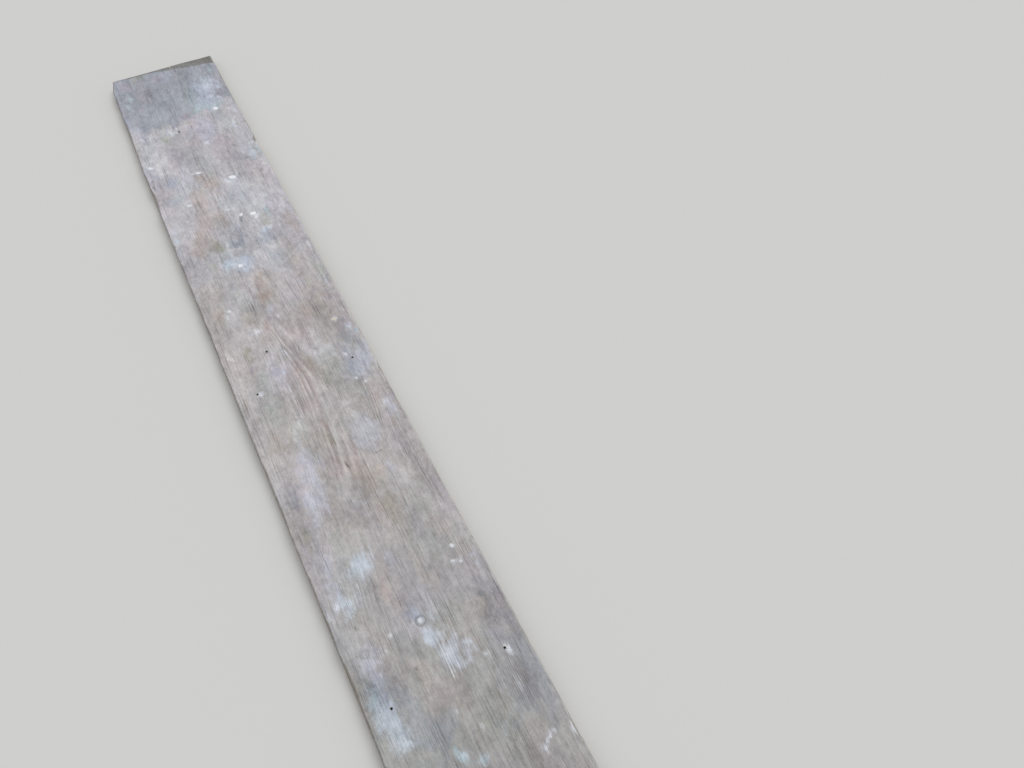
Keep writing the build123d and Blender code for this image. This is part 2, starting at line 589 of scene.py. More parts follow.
@dataclass
class Board:
    """The board's worn shape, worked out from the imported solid's box and its stated nail pairs."""

    columns: int = 190
    underside_columns: int = 22
    coarse_step: float = 12.0
    step_growth: float = 0.35
    hole_reach: float = 5.0
    hole_step: float = 2.4
    sliver_step: float = 6.0
    square_end_reach: float = 6.0
    end_step: float = 4.0
    wear_depth: float = 0.8
    wear_margin: float = 14.0
    swell_depth: float = 0.25
    dish_depth: float = 0.4
    dish_radius: float = 5.5
    saw_depth: float = 0.16
    plane_depth: float = 0.3
    end_roughness: float = 0.45
    underside_below: float = 0.01
    grain_inset: Pair = (3.0, 12.0)
    narrowing: float = 6.0
    narrowing_length: float = 430.0
    end_skew: float = 10.0
    skew_reach: float = 220.0
    lost_corner_along: float = 44.0
    lost_corner_across: float = 8.0
    end_arris: float = 1.2
    face_arris: float = 3.0
    sawn_arris: float = 0.8
    arris_bends: tuple[float, ...] = (18.0, 36.0, 54.0, 72.0)
    arris_width: Triple = (1.0, 2.6, 1.1)
    arris_depth: Triple = (1.0, 3.0, 1.3)
    arris_fibres: float = 0.45
    arris_clear: float = 0.4
    sliver_ends: Pair = (0.82, 0.36)
    edge_heights: tuple[float, ...] = (4.5, 9.0, 13.5, 17.5)
    split_along: float = 48.0
    split_across: float = 92.0
    split_depth: float = 3.0
    split_steps: float = 0.3
    split_fibres: float = 0.7
    split_clear: float = 0.3
    stray_nails: tuple[Pair, ...] = ((294.0, 117.0), (1064.0, 91.0))
    left_slivers: tuple[Sliver, ...] = listed(
        Sliver,
        (521.0, 110.0, 7.0, 9.0),
        (847.0, 30.0, 3.5, 5.0),
        (1649.0, 90.0, 4.0, 6.0),
        (1755.0, 120.0, 5.0, 8.0),
        (2160.0, 70.0, 4.5, 7.0),
    )
    right_slivers: tuple[Sliver, ...] = listed(
        Sliver,
        (345.0, 60.0, 3.5, 6.0),
        (404.0, 34.0, 7.0, 14.0),
        (1209.0, 42.0, 4.0, 8.0),
        (1968.0, 56.0, 4.0, 6.0),
    )
    low: Vector = field(init=False)
    high: Vector = field(init=False)

    def __post_init__(self) -> None:
        """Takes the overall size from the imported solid."""
        low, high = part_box(NODE)
        self.low = low / MM
        self.high = high / MM

    @property
    def tip(self) -> float:
        """Where the skew-sawn end reaches furthest."""
        return self.high.x

    @property
    def left(self) -> float:
        """The left edge, at the board's full width."""
        return self.high.y

    @property
    def right(self) -> float:
        """The right edge."""
        return self.low.y

    @property
    def thickness(self) -> float:
        """The height of the unworn face."""
        return self.high.z

    def place(self, back: float, across: float) -> Pair:
        """Turns a place given from the tip and the left edge into X and Y."""
        return self.tip - back, self.left - across

    def nail_holes(self) -> list[NailHole]:
        """Lists every nail hole: the stated pairs and the strays.

        Returns:
            The holes.
        """
        holes = [NailHole(*self.place(*stray)) for stray in self.stray_nails]
        for mount in frame["record"]["mounts"]:
            if mount["kind"] == "bolt_pattern":
                x, y, _ = (value / MM for value in mount["pos_m"])
                half = mount["dims"]["spacing_y_mm"] / 2
                holes += [NailHole(x, y + half), NailHole(x, y - half)]
        return holes

    def stations(self) -> np.ndarray:
        """Chooses where along the board the mesh has its loops: close where there is much to show.

        Returns:
            Places along X, from the square end to the tip.
        """
        samples = 9601
        dense = [(hole.x, self.hole_reach, self.hole_step) for hole in self.nail_holes()]
        for sliver in self.left_slivers + self.right_slivers:
            dense.append((self.tip - sliver.back, sliver.length / 2, self.sliver_step))
        dense.append((self.tip, self.split_along, self.end_step))
        dense.append((self.low.x, self.square_end_reach, self.end_step))
        x = np.linspace(self.low.x + self.end_arris, self.tip - self.end_arris, samples)
        step = np.full_like(x, self.coarse_step)
        for middle, reach, fine in dense:
            beyond = np.clip(np.abs(x - middle) - reach, 0, None)
            step = np.minimum(step, fine + self.step_growth * beyond)
        count = np.concatenate([[0.0], np.cumsum(np.diff(x) / step[:-1])])
        loops = int(math.ceil(count[-1]))
        inner = np.interp(np.linspace(0.0, count[-1], loops + 1), count, x)
        return np.concatenate([[self.low.x], inner, [self.tip]])

    def loop(self) -> tuple[np.ndarray, ...]:
        """Works out one loop of points round the section, from the right foot along the underside.

        Returns:
            Each point's share of the way from right to left, what is added to that, its height,
            and whether it lies on the face.
        """
        under = np.linspace(0.0, 1.0, self.underside_columns + 1)
        over = np.linspace(1.0, 0.0, self.columns + 1)
        rise = np.array([self.sawn_arris, *self.edge_heights, self.thickness - self.face_arris])
        bend = np.radians(self.arris_bends)
        foot = self.sawn_arris
        radius = self.face_arris
        arc_in = radius * (1 - np.cos(bend))
        arc_up = self.thickness - radius + radius * np.sin(bend)
        upright = np.zeros(len(rise))
        side = len(bend) + len(rise)
        share = [under, np.ones(side), over, np.zeros(side)]
        below = foot - 2 * foot * under
        above = radius - 2 * radius * over
        added = [below, upright, -arc_in, above, arc_in[::-1], upright]
        top = np.full(len(over), self.thickness)
        height = [np.zeros(len(under)), rise, arc_up, top, arc_up[::-1], rise[::-1]]
        walked = [np.zeros(len(under) + side), np.ones(len(over)), np.zeros(side)]
        return tuple(np.concatenate(part) for part in (share, added, height, walked))

    def left_edge(self, x: np.ndarray) -> np.ndarray:
        """Finds the left edge, which draws in towards the skew-sawn end.

        Args:
            x: places along the board.

        Returns:
            Y of the left edge there.
        """
        drawn_in = np.clip((x - self.tip + self.narrowing_length) / self.narrowing_length, 0, 1)
        narrowed = self.left - self.narrowing * drawn_in
        lost = 1 - (self.tip - self.end_skew - x) / self.lost_corner_along
        cut = self.left - self.narrowing - self.lost_corner_across * lost
        return np.minimum(narrowed, cut)

    def sawn_off(self, y: np.ndarray) -> np.ndarray:
        """Finds how far back of the tip the skew saw cut leaves the end."""
        return self.end_skew * (y - self.right) / (self.left - self.right)

    def face_height(self, x: np.ndarray, y: np.ndarray) -> np.ndarray:
        """Finds the highest that wood is left where the corner has split off.

        Args:
            x: places along the board.
            y: places across it.

        Returns:
            The height of the split, or of the face where it is whole.
        """
        back = (self.tip - x) / self.split_along
        inwards = (y - self.right) / self.split_across
        fibres = Unevenness(11, 26.0, 1.7).at(x, y) - 0.5
        steps = Unevenness(12, 60.0, 7.0).at(x, y) - 0.5
        lost = self.split_depth * (1 - back - inwards)
        torn = np.where(lost > self.split_clear, self.split_fibres * fibres, 0.0)
        lost = lost * (1 + self.split_steps * steps) + torn
        return self.thickness - np.clip(lost, 0, None)

    def clip_arris(self, x: np.ndarray, y: np.ndarray, z: np.ndarray, side: int) -> None:
        """Cuts one arris back to an uneven slope, deep where slivers are lost. Changes y and z.

        Args:
            x: places along the board.
            y: places across it.
            z: heights.
            side: 1 for the left arris and -1 for the right one.
        """
        slivers = self.left_slivers if side > 0 else self.right_slivers
        edge = self.left_edge(x) if side > 0 else np.full_like(x, self.right)
        level = np.zeros_like(x)
        wear = smooth_step(Unevenness(21 + side, 45.0, 1.0).at(x, level), 0.45, 1.0)
        nibble = Unevenness(31 + side, 9.0, 1.0).at(x, level)
        width, depth = (
            least + worn * wear + nibbled * nibble
            for least, worn, nibbled in (self.arris_width, self.arris_depth)
        )
        least, added = self.sliver_ends
        ragged = least + added * Unevenness(41 + side, 7.0, 1.0).at(x, level)
        for sliver in slivers:
            along = (self.tip - sliver.back - x) / (sliver.length / 2)
            shape = np.clip(1 - along * along, 0, None) * ragged
            width = np.maximum(width, sliver.width * shape)
            depth = np.maximum(depth, sliver.depth * shape)
        inwards = side * (edge - y)
        down = self.thickness - z
        beyond = np.clip(1 - inwards / width - down / depth, 0, None)
        push = beyond / (1 / width**2 + 1 / depth**2)
        fibres = Unevenness(51 + side, 34.0, 1.1).at(x, inwards - down)
        extra = np.where(push > self.arris_clear, self.arris_fibres * fibres, 0.0)
        y -= side * (push / width + extra)
        z -= push / depth + extra

    def points(self) -> tuple[np.ndarray, np.ndarray]:
        """Works out the worn shape's points, loop by loop.

        Returns:
            An array of loops by points by X, Y and Z, and each point's share of the walked-on face.
        """
        share, added, height, walked = self.loop()
        row = self.stations()[:, None]
        skewed = smooth_step(row, self.tip - self.skew_reach, self.tip + self.skew_reach) * 2
        edge = self.left_edge(row - self.end_skew * skewed)
        y = self.right + (edge - self.right) * share[None, :] + added[None, :]
        z = np.broadcast_to(height[None, :], y.shape).copy()
        x = row - self.sawn_off(y) * skewed
        face = np.broadcast_to(walked[None, :] > 0, y.shape)
        middle = (edge + self.right) / 2
        half = (edge - self.right) / 2 - self.wear_margin
        hollow = np.clip(1 - ((y - middle) / half) ** 2, 0, 1)
        swell = Unevenness(61, 210.0, 60.0).at(x, y) * self.swell_depth
        z -= np.where(face, self.wear_depth * hollow + swell, 0.0)
        for hole in self.nail_holes():
            away = np.hypot(x - hole.x, y - hole.y)
            z -= np.where(face, self.dish_depth * np.exp(-((away / self.dish_radius) ** 2)), 0.0)
        z *= self.face_height(x, y) / self.thickness
        ends = [0, -1]
        z[ends] -= np.where(face[ends], self.end_arris, 0.0)
        self.clip_arris(x, y, z, 1)
        self.clip_arris(x, y, z, -1)
        sawn = Unevenness(71, 5.0, 60.0).at(x, y) * self.saw_depth
        z += np.where(z < self.underside_below, sawn, 0.0)
        planed = Unevenness(81, 120.0, 3.0).at(x, z) * self.plane_depth
        upright = added == 0
        y -= np.where((share == 1) & upright, planed, 0.0)
        y += np.where((share == 0) & upright, planed, 0.0)
        inset = np.minimum(y - self.right, edge - y)
        shown = np.where(face, smooth_step(inset, *self.grain_inset), 0.0)
        return np.stack([x, y, z], axis=-1), shown

    def end_cap(self, rim: np.ndarray, outwards: int) -> tuple[np.ndarray, np.ndarray]:
        """Fills the rim of one sawn end with a rough flat face.

        Args:
            rim: the points of the end's loop.
            outwards: 1 for the tip and -1 for the square end.

        Returns:
            The points that the face adds, and its triangles, which number the rim's points first.
        """
        spacing = 3.4
        margin = 2.5
        lowest = 2.6
        clear_above = 3.0
        clear_of_split = 3.5
        rows = np.arange(lowest, self.thickness - clear_above, spacing)
        places = np.arange(self.right + margin, rim[:, 1].max() - margin, spacing)
        y, z = (grid.ravel() for grid in np.meshgrid(places, rows))
        room = self.face_height(np.full_like(y, self.tip), y) if outwards > 0 else self.thickness
        keep = z < room - clear_of_split
        y, z = y[keep], z[keep]
        flat = [Vector((p[1], p[2])) for p in rim] + [Vector((a, b)) for a, b in zip(y, z)]
        count = len(rim)
        edges = [(i, (i + 1) % count) for i in range(count)]
        found = delaunay_2d_cdt(flat, edges, [], 1, 1e-5)
        origin = [ids[0] for ids in found[3]]
        triangles = np.array([[origin[corner] for corner in face] for face in found[2]])
        if outwards < 0:
            triangles = triangles[:, ::-1]
        end = self.tip - self.sawn_off(y) if outwards > 0 else np.full_like(y, self.low.x)
        rough = self.end_roughness * Unevenness(91 + outwards, 2.6, 40.0).at(y, z)
        return np.stack([end - outwards * rough, y, z], axis=-1), triangles

    def shell(self) -> bpy.types.Object:
        """Builds the closed worn shape, before its grain is raised and its holes are cut.

        Returns:
            The object, whose mesh is in metres.
        """
        points, shown = self.points()
        loops, count, _ = points.shape
        flat = points.reshape(-1, 3)
        index = np.arange(loops * count).reshape(loops, count)
        turned = np.roll(index, -1, axis=1)
        quads = np.stack([index[:-1], turned[:-1], turned[1:], index[1:]], axis=-1).reshape(-1, 4)
        vertices = [flat]
        triangles = []
        total = len(flat)
        for row, outwards in ((0, -1), (loops - 1, 1)):
            inner, filled = self.end_cap(points[row], outwards)
            numbers = np.concatenate([index[row], total + np.arange(len(inner))])
            triangles.append(numbers[filled])
            vertices.append(inner)
            total += len(inner)
        faces = quads.tolist() + np.concatenate(triangles).tolist()
        made = put_mesh("board_shell", np.concatenate(vertices), faces)
        walked = np.concatenate([shown.ravel(), np.zeros(total - len(flat))])
        keep_numbers(made.data, {"walked": walked})
        return made


@dataclass
class RaisedGrain:
    """Feet wear the soft early wood away and leave the late wood of each ring standing."""

    rings: GrowthRings
    finish: bpy.types.Material
    relief: float = 0.22
    full_within: float = 80.0
    gone_beyond: float = 136.0

    def apply(self, shell: bpy.types.Object) -> None:
        """Adds the relief to the board as a Geometry Nodes tree.

        Args:
            shell: the board.
        """
        inputs = {
            "Relief": self.relief * MM,
            "Full Within": self.full_within,
            "Gone Beyond": self.gone_beyond,
            "Finish": self.finish,
        }
        weave = ShapeWeaver("raised_grain", inputs)
        given = weave.given
        late, _, across = self.rings.wood(weave, weave.in_mm(weave.position))
        off_pith = weave.math("ABSOLUTE", across)
        near = weave.grade(off_pith, given["Full Within"], given["Gone Beyond"], 1.0, 0.0)
        depth = weave.times(weave.less(1.0, late), given["Relief"])
        depth = weave.times(weave.times(depth, near), weave.number("walked"))
        offset = weave.join(0.0, 0.0, weave.times(depth, -1.0))
        moved = weave.node("GeometryNodeSetPosition", {"Geometry": given["Geometry"], "Offset": offset})
        weave.grow(moved.outputs[0], shell)


@dataclass
class NailsAndCheck:
    """The nail holes, each with the mouth that a driven head left, and the drying check in the end."""

    board: Board
    finish: bpy.types.Material
    hole_radius: float = 1.7
    hole_facets: int = 20
    mouth_radius: float = 3.2
    mouth_depth: float = 1.4
    overrun: float = 2.0
    check_from_left: float = 164.0
    check_length: float = 62.0
    check_mouth: float = 1.4
    check_depth: float = 16.0
    check_bends: int = 7
    check_drift: float = 1.6
    check_swing: float = 5.0
    check_flare: float = 1.3
    check_tip: float = 0.02

    def check_wedge(self) -> bpy.types.Object:
        """Makes the thin wedge that opens from the check's tip to its mouth in the end.

        Returns:
            The wedge.
        """
        tip_x, y = self.board.place(self.check_length, self.check_from_left)
        mouth_x = self.board.tip + self.overrun
        low = self.board.thickness - self.check_depth
        high = self.board.thickness + self.overrun
        along = np.linspace(0.0, 1.0, self.check_bends)
        x = tip_x + (mouth_x - tip_x) * along
        drift = self.check_drift * np.sin(along * self.check_swing) * along
        half = self.check_tip + (self.check_mouth / 2 - self.check_tip) * along**self.check_flare
        left = np.stack([x, y + drift + half], axis=-1)
        right = np.stack([x, y + drift - half], axis=-1)[::-1]
        outline = np.concatenate([left, right])
        count = len(outline)
        points = [(*p, low) for p in outline] + [(*p, high) for p in outline]
        walls = [(i, i + count, (i + 1) % count + count, (i + 1) % count) for i in range(count)]
        strips = [(i, i + 1, count - 2 - i, count - 1 - i) for i in range(self.check_bends - 1)]
        lids = [tuple(i + count for i in reversed(strip)) for strip in strips]
        return put_mesh("check_wedge", np.array(points), walls + strips + lids)

    def apply(self, shell: bpy.types.Object) -> list[bpy.types.Object]:
        """Adds the cuts to the board as a Geometry Nodes tree.

        Args:
            shell: the board.

        Returns:
            The helpers that the tree reads, to be removed after it has run.
        """
        places = np.array([(hole.x, hole.y, 0.0) for hole in self.board.nail_holes()])
        nails = put_mesh("nail_places", places, [])
        wedge = self.check_wedge()
        flare = (self.mouth_radius - self.hole_radius) / self.mouth_depth
        mouth_height = self.mouth_depth + self.overrun
        inputs = {
            "Nails": nails,
            "Check": wedge,
            "Hole Radius": self.hole_radius * MM,
            "Hole Depth": (self.board.thickness + 2 * self.overrun) * MM,
            "Hole Middle": self.board.thickness / 2 * MM,
            "Mouth Radius": (self.hole_radius + flare * mouth_height) * MM,
            "Mouth Height": mouth_height * MM,
            "Mouth Floor": (self.board.thickness - self.mouth_depth) * MM,
            "Finish": self.finish,
        }
        weave = ShapeWeaver("nail_holes_and_check", inputs)
        given = weave.given
        points = weave.shape_of("Nails")
        shank_feeds = {
            "Vertices": self.hole_facets,
            "Radius": given["Hole Radius"],
            "Depth": given["Hole Depth"],
        }
        mouth_feeds = {
            "Vertices": self.hole_facets,
            "Radius Top": given["Mouth Radius"],
            "Radius Bottom": given["Hole Radius"],
            "Depth": given["Mouth Height"],
        }
        shank = weave.node("GeometryNodeMeshCylinder", shank_feeds)
        mouth = weave.node("GeometryNodeMeshCone", mouth_feeds)
        feeds = {0: given["Geometry"]}
        cut = weave.node("GeometryNodeMeshBoolean", feeds, operation="DIFFERENCE", solver="MANIFOLD")
        for shape, height in ((shank, "Hole Middle"), (mouth, "Mouth Floor")):
            lift = weave.join(0.0, 0.0, given[height])
            feeds = {"Geometry": shape.outputs["Mesh"], "Translation": lift}
            raised = weave.node("GeometryNodeTransform", feeds).outputs[0]
            copies = weave.node("GeometryNodeInstanceOnPoints", {"Points": points, "Instance": raised})
            weave.feed(cut.inputs[1], weave.real(copies.outputs[0]))
        weave.feed(cut.inputs[1], weave.shape_of("Check"))
        weave.grow(cut.outputs[0], shell)
        return [nails, wedge]


class Way(Enum):
    """The two ways in which a course is followed over the face."""

    BACK = 0
    ACROSS = 1


def face_patches() -> dict[Tint, tuple[Mark, ...]]:
    """Lists what years of use left on the face, each patch given one by one.

    Returns:
        The patches of each tint. A row gives how far back and across a patch lies, its reach
        along the grain and across it, its strength where that isn't 1, and its turn in degrees.
    """
    return {
        Tint.PALE: listed(
            Mark,
            (320, 35, 90, 34, 0.8), (404, 34, 70, 32, 0.9), (490, 190, 70, 44, 0.9),
            (665, 142, 84, 38, 1.1), (770, 100, 60, 50, 0.8), (785, 190, 66, 54, 0.8),
            (800, 244, 56, 28, 0.6), (770, 142, 50, 26, 0.7), (1130, 86, 74, 32, 1.2),
            (640, 34, 62, 32, 0.5), (730, 188, 60, 38, 0.9), (900, 86, 70, 30, 0.7),
            (1090, 190, 74, 34, 1), (300, 225, 60, 50, 0.6), (305, 86, 50, 24, 0.5),
            (400, 108, 16, 9, 0.6), (416, 66, 12, 7, 0.6), (500, 262, 40, 14, 0.6),
            (640, 210, 110, 56, 0.8), (555, 225, 70, 50, 0.8), (700, 200, 80, 40, 0.5),
            (627, 52, 10, 8, 0.7), (858, 196, 14, 12, 0.7), (990, 84, 80, 34, 0.6),
            (990, 152, 50, 20, 0.6), (1275, 188, 50, 24, 0.5), (1120, 215, 60, 24, 0.5),
            (1240, 110, 60, 24, 0.4), (1265, 88, 60, 26, 0.8), (1049, 18, 14, 14, 0.7),
            (1060, 90, 40, 26, 0.8), (1208, 58, 22, 14, 0.6), (1248, 222, 30, 20, 0.5),
            (1470, 228, 40, 20, 0.4),
        ),
        Tint.LILAC: listed(
            Mark,
            (271, 31, 44, 9, 1, 4), (305, 182, 66, 44, 0.9), (252, 268, 30, 9, 0.9),
            (446, 26, 10, 12, 0.8), (478, 17, 18, 7, 0.9), (645, 16, 30, 9, 0.8),
            (692, 145, 16, 7, 0.9), (905, 215, 22, 20, 0.7), (960, 133, 22, 9, 0.9),
            (985, 250, 30, 20, 0.6), (1132, 95, 26, 16, 0.8), (1165, 246, 66, 40, 1.1),
            (1300, 262, 26, 16, 0.9), (1350, 76, 76, 28, 1), (1430, 62, 56, 30, 1),
            (1338, 194, 66, 34, 1.1), (1421, 206, 18, 11, 0.7), (1555, 36, 30, 18, 0.6),
            (1600, 30, 44, 22, 0.6), (1738, 36, 50, 26, 0.7), (1585, 138, 24, 10, 0.6),
            (1628, 62, 18, 14, 0.8), (1650, 262, 12, 14, 1), (2030, 120, 50, 30, 0.6),
            (2290, 220, 40, 22, 0.7),
        ),
        Tint.HAZE: listed(
            Mark,
            (48, 192, 30, 12, 0.6), (120, 212, 40, 26, 0.7), (268, 215, 40, 22, 0.8),
            (310, 138, 52, 28, 0.55), (318, 170, 48, 24, 0.8), (350, 166, 14, 12, 0.9),
            (478, 52, 30, 28, 0.9), (470, 235, 20, 14, 0.7), (545, 34, 44, 28, 0.7),
            (592, 128, 26, 14, 0.6), (700, 168, 26, 18, 0.5), (735, 128, 26, 24, 1),
            (750, 205, 44, 44, 0.8), (812, 30, 34, 24, 0.5), (822, 190, 46, 46, 0.8),
            (858, 88, 16, 14, 0.7), (1085, 260, 26, 18, 0.7), (1250, 232, 24, 16, 0.5),
            (1700, 135, 34, 20, 0.9), (1790, 34, 50, 34, 1), (1822, 72, 26, 14, 0.9),
            (1880, 90, 26, 30, 0.5), (1912, 200, 26, 30, 0.6), (2160, 60, 60, 40, 0.8),
            (2330, 130, 50, 40, 0.7),
        ),
        Tint.GREY: listed(
            Mark,
            (1140, 60, 36, 26, 0.5), (1215, 56, 64, 30, 0.6), (1130, 190, 60, 22, 0.6),
            (1290, 88, 24, 18, 0.4), (1300, 228, 40, 16, 0.7), (1345, 130, 20, 14, 0.5),
            (1520, 70, 46, 26, 0.9), (1530, 222, 40, 26, 0.8), (1610, 210, 40, 30, 0.5),
            (1730, 190, 50, 20, 0.6), (1850, 180, 50, 26, 0.6), (1968, 190, 50, 40, 0.5),
            (2260, 60, 70, 34, 0.6),
        ),
        Tint.GREEN: listed(
            Mark,
            (196, 26, 44, 17, 0.5), (273, 140, 13, 14, 1), (310, 78, 26, 20, 0.9),
            (482, 68, 16, 10, 0.9), (692, 205, 30, 24, 0.6), (640, 268, 30, 8, 0.5),
            (790, 58, 28, 12, 1), (830, 50, 24, 16, 0.8), (898, 266, 40, 12, 0.8),
            (918, 236, 30, 13, 1), (965, 192, 24, 16, 0.5), (1170, 178, 30, 16, 0.5),
            (1335, 92, 24, 14, 0.7), (1442, 204, 10, 10, 0.8),
        ),
        Tint.OLIVE: listed(
            Mark,
            (23, 76, 13, 22, 0.9), (19, 160, 14, 8, 0.7), (724, 84, 24, 17, 1),
            (1054, 57, 17, 14, 1, 20), (1124, 159, 30, 6, 0.9), (1310, 133, 14, 14, 1),
            (1480, 26, 30, 15, 0.9), (1514, 18, 14, 11, 0.9), (1465, 246, 24, 8, 0.6),
            (1930, 232, 24, 16, 0.7), (2120, 210, 36, 20, 0.8),
        ),
        Tint.BROWN: listed(
            Mark,
            (930, 30, 46, 24, 0.9), (980, 246, 60, 34, 0.8), (1390, 26, 100, 24, 0.9),
            (975, 82, 44, 26, 0.7), (1000, 212, 60, 34, 0.8), (1080, 190, 36, 26, 0.6),
            (1180, 14, 26, 14, 0.9), (1280, 40, 36, 22, 0.8), (1340, 252, 24, 9, 0.9),
            (1425, 160, 66, 50, 1), (1490, 170, 60, 52, 0.8), (1500, 110, 46, 24, 0.7),
            (1590, 112, 30, 16, 0.6), (1735, 240, 48, 32, 1), (1835, 128, 56, 56, 1),
            (1900, 60, 24, 16, 0.5), (2070, 200, 70, 36, 0.9), (2230, 150, 60, 40, 0.8),
        ),
        Tint.PLUM: listed(
            Mark,
            (46, 36, 34, 13, 1), (45, 122, 26, 32, 0.8), (62, 165, 12, 9, 0.9), (30, 172, 18, 7, 0.6),
            (118, 67, 26, 8, 1), (160, 56, 20, 7, 0.8), (234, 143, 22, 16, 0.9),
            (722, 136, 13, 12, 0.6), (878, 30, 40, 28, 0.4), (952, 228, 14, 18, 0.9),
            (981, 122, 12, 9, 0.9), (988, 262, 28, 14, 0.8), (1095, 46, 30, 20, 0.4),
            (1285, 262, 14, 12, 0.5), (1480, 108, 18, 20, 0.4), (1785, 240, 24, 26, 0.5),
        ),
        Tint.TEAL: listed(
            Mark,
            (68, 258, 30, 8, 0.9), (104, 39, 26, 9, 0.9), (145, 29, 20, 13, 1), (228, 222, 42, 44, 1.2),
            (215, 180, 26, 12, 0.9), (234, 196, 16, 24, 0.8), (452, 272, 36, 6, 1),
            (672, 222, 20, 14, 0.8), (1094, 272, 16, 7, 0.8), (1785, 22, 30, 18, 0.7),
            (1926, 112, 14, 16, 1), (1944, 136, 12, 10, 0.9),
        ),
        Tint.BARE: listed(
            Mark,
            (518, 130, 40, 30, 1), (486, 110, 22, 9, 0.9), (560, 96, 54, 22, 1.2, -14),
            (632, 90, 52, 32, 1.2, -14), (646, 120, 40, 20, 1), (688, 64, 44, 20, 1, -16),
            (728, 52, 30, 20, 0.8), (728, 264, 48, 14, 0.7), (868, 134, 36, 17, 1),
            (874, 226, 16, 16, 0.6), (860, 222, 40, 22, 0.4), (862, 30, 44, 28, 0.5),
            (924, 128, 17, 18, 0.9), (1006, 115, 26, 9, 1), (1050, 96, 26, 18, 0.5),
            (1062, 148, 60, 18, 0.6), (1120, 132, 56, 15, 1, 2), (1178, 128, 46, 15, 1),
            (1230, 134, 50, 22, 1), (1275, 137, 30, 13, 1), (1310, 158, 90, 11, 0.9),
            (1380, 128, 40, 18, 0.6), (1262, 250, 60, 12, 0.6), (1650, 110, 48, 14, 0.7),
            (1634, 178, 34, 20, 0.7), (1780, 112, 24, 18, 0.7), (1825, 110, 30, 30, 0.3),
            (1572, 240, 20, 14, 0.6), (2090, 170, 80, 26, 0.9), (2250, 96, 80, 34, 0.8),
        ),
        Tint.RUST: listed(
            Mark,
            (856, 146, 16, 5, 0.8), (926, 128, 13, 16, 1), (1002, 112, 20, 6, 0.8),
            (1140, 132, 18, 7, 0.9), (1168, 128, 10, 8, 0.9), (1277, 132, 20, 7, 1, 8),
            (1374, 254, 20, 6, 0.9), (1784, 129, 9, 7, 0.8), (1779, 204, 7, 6, 0.7),
            (2105, 176, 24, 7, 0.7),
        ),
        Tint.BLUE: listed(
            Mark,
            (136, 230, 62, 50, 1.05), (196, 216, 60, 46, 0.9), (214, 250, 40, 26, 0.8),
            (330, 246, 30, 20, 0.7), (76, 240, 12, 11, 0.6), (295, 96, 20, 11, 0.8),
            (448, 250, 32, 20, 0.8), (466, 250, 12, 12, 0.9), (678, 11, 22, 7, 1), (715, 8, 14, 5, 0.7),
            (722, 198, 16, 18, 0.8), (788, 94, 40, 28, 1), (810, 128, 46, 34, 1.1),
            (1130, 105, 9, 8, 0.9), (1076, 262, 14, 10, 0.9), (1580, 86, 34, 32, 1, 20),
            (1629, 33, 34, 26, 0.9), (1664, 266, 8, 7, 0.8), (1704, 140, 26, 26, 0.45),
            (1740, 146, 32, 24, 1.2), (1778, 164, 34, 26, 1.1), (1792, 187, 18, 15, 0.8),
            (1836, 32, 68, 33, 0.95), (1866, 44, 30, 28, 0.8), (1924, 110, 9, 11, 0.7),
            (1966, 234, 12, 15, 0.8), (2055, 75, 30, 18, 0.8), (2210, 190, 34, 20, 0.9, 12),
            (2345, 60, 22, 16, 0.8),
        ),
        Tint.WHITE: listed(
            Mark,
            (152, 231, 22, 6, 0.5), (172, 244, 22, 6, 0.5), (241, 225, 14, 13, 1.4),
            (100, 269, 18, 7, 0.7), (292, 101, 24, 12, 0.8), (281, 115, 8, 8, 0.6),
            (367, 165, 9, 8, 0.7), (401, 18, 9, 12, 0.7), (483, 4, 18, 4, 0.9), (412, 264, 14, 10, 0.7),
            (460, 250, 9, 9, 0.8), (466, 112, 10, 14, 0.8), (484, 139, 22, 9, 0.4),
            (520, 187, 12, 16, 1.4), (536, 258, 24, 9, 0.6), (572, 67, 9, 13, 0.7),
            (599, 128, 9, 9, 0.6), (627, 142, 12, 11, 0.8), (654, 165, 9, 9, 0.8),
            (665, 192, 13, 15, 1.4), (694, 193, 9, 9, 0.7), (734, 105, 9, 9, 0.5), (749, 35, 9, 9, 0.5),
            (721, 232, 22, 6, 0.6), (814, 115, 17, 11, 1), (782, 84, 22, 12, 0.6),
            (838, 110, 30, 4, 0.6, -5), (872, 111, 24, 3.5, 0.55, 14), (811, 172, 18, 5, 0.5),
            (814, 207, 20, 5, 0.5), (824, 245, 20, 5, 0.5), (816, 269, 24, 5, 0.6),
            (874, 225, 9, 10, 0.5), (924, 55, 9, 10, 0.7), (944, 48, 8, 9, 0.6), (934, 266, 40, 7, 0.6),
            (960, 136, 12, 10, 0.7), (984, 140, 12, 8, 0.6), (1006, 90, 9, 18, 0.8),
            (1046, 243, 9, 9, 0.9), (1049, 15, 10, 9, 0.6), (1076, 121, 24, 4, 0.6, 8),
            (1080, 262, 18, 11, 0.7), (1144, 230, 9, 10, 0.6), (1160, 48, 9, 11, 0.8),
            (1209, 227, 8, 8, 0.6), (1224, 240, 8, 8, 0.6), (1287, 256, 12, 9, 0.7),
            (1606, 65, 11, 9, 0.6), (1632, 8, 24, 3.5, 0.7), (1616, 240, 9, 9, 0.7),
            (1645, 235, 10, 14, 0.8), (1630, 29, 12, 10, 0.5), (1708, 137, 5, 5, 1.2),
            (1708, 125, 13, 8, 0.7), (1712, 64, 11, 13, 0.6), (1709, 85, 8, 8, 0.6),
            (1734, 142, 18, 14, 0.4), (1776, 160, 26, 12, 0.3), (1806, 147, 18, 8, 0.6),
            (1821, 244, 12, 12, 1), (1807, 208, 9, 8, 0.8), (1869, 233, 22, 6, 0.6),
            (1863, 128, 7, 7, 0.5), (1868, 46, 14, 14, 0.5), (1899, 155, 14, 6, 0.7),
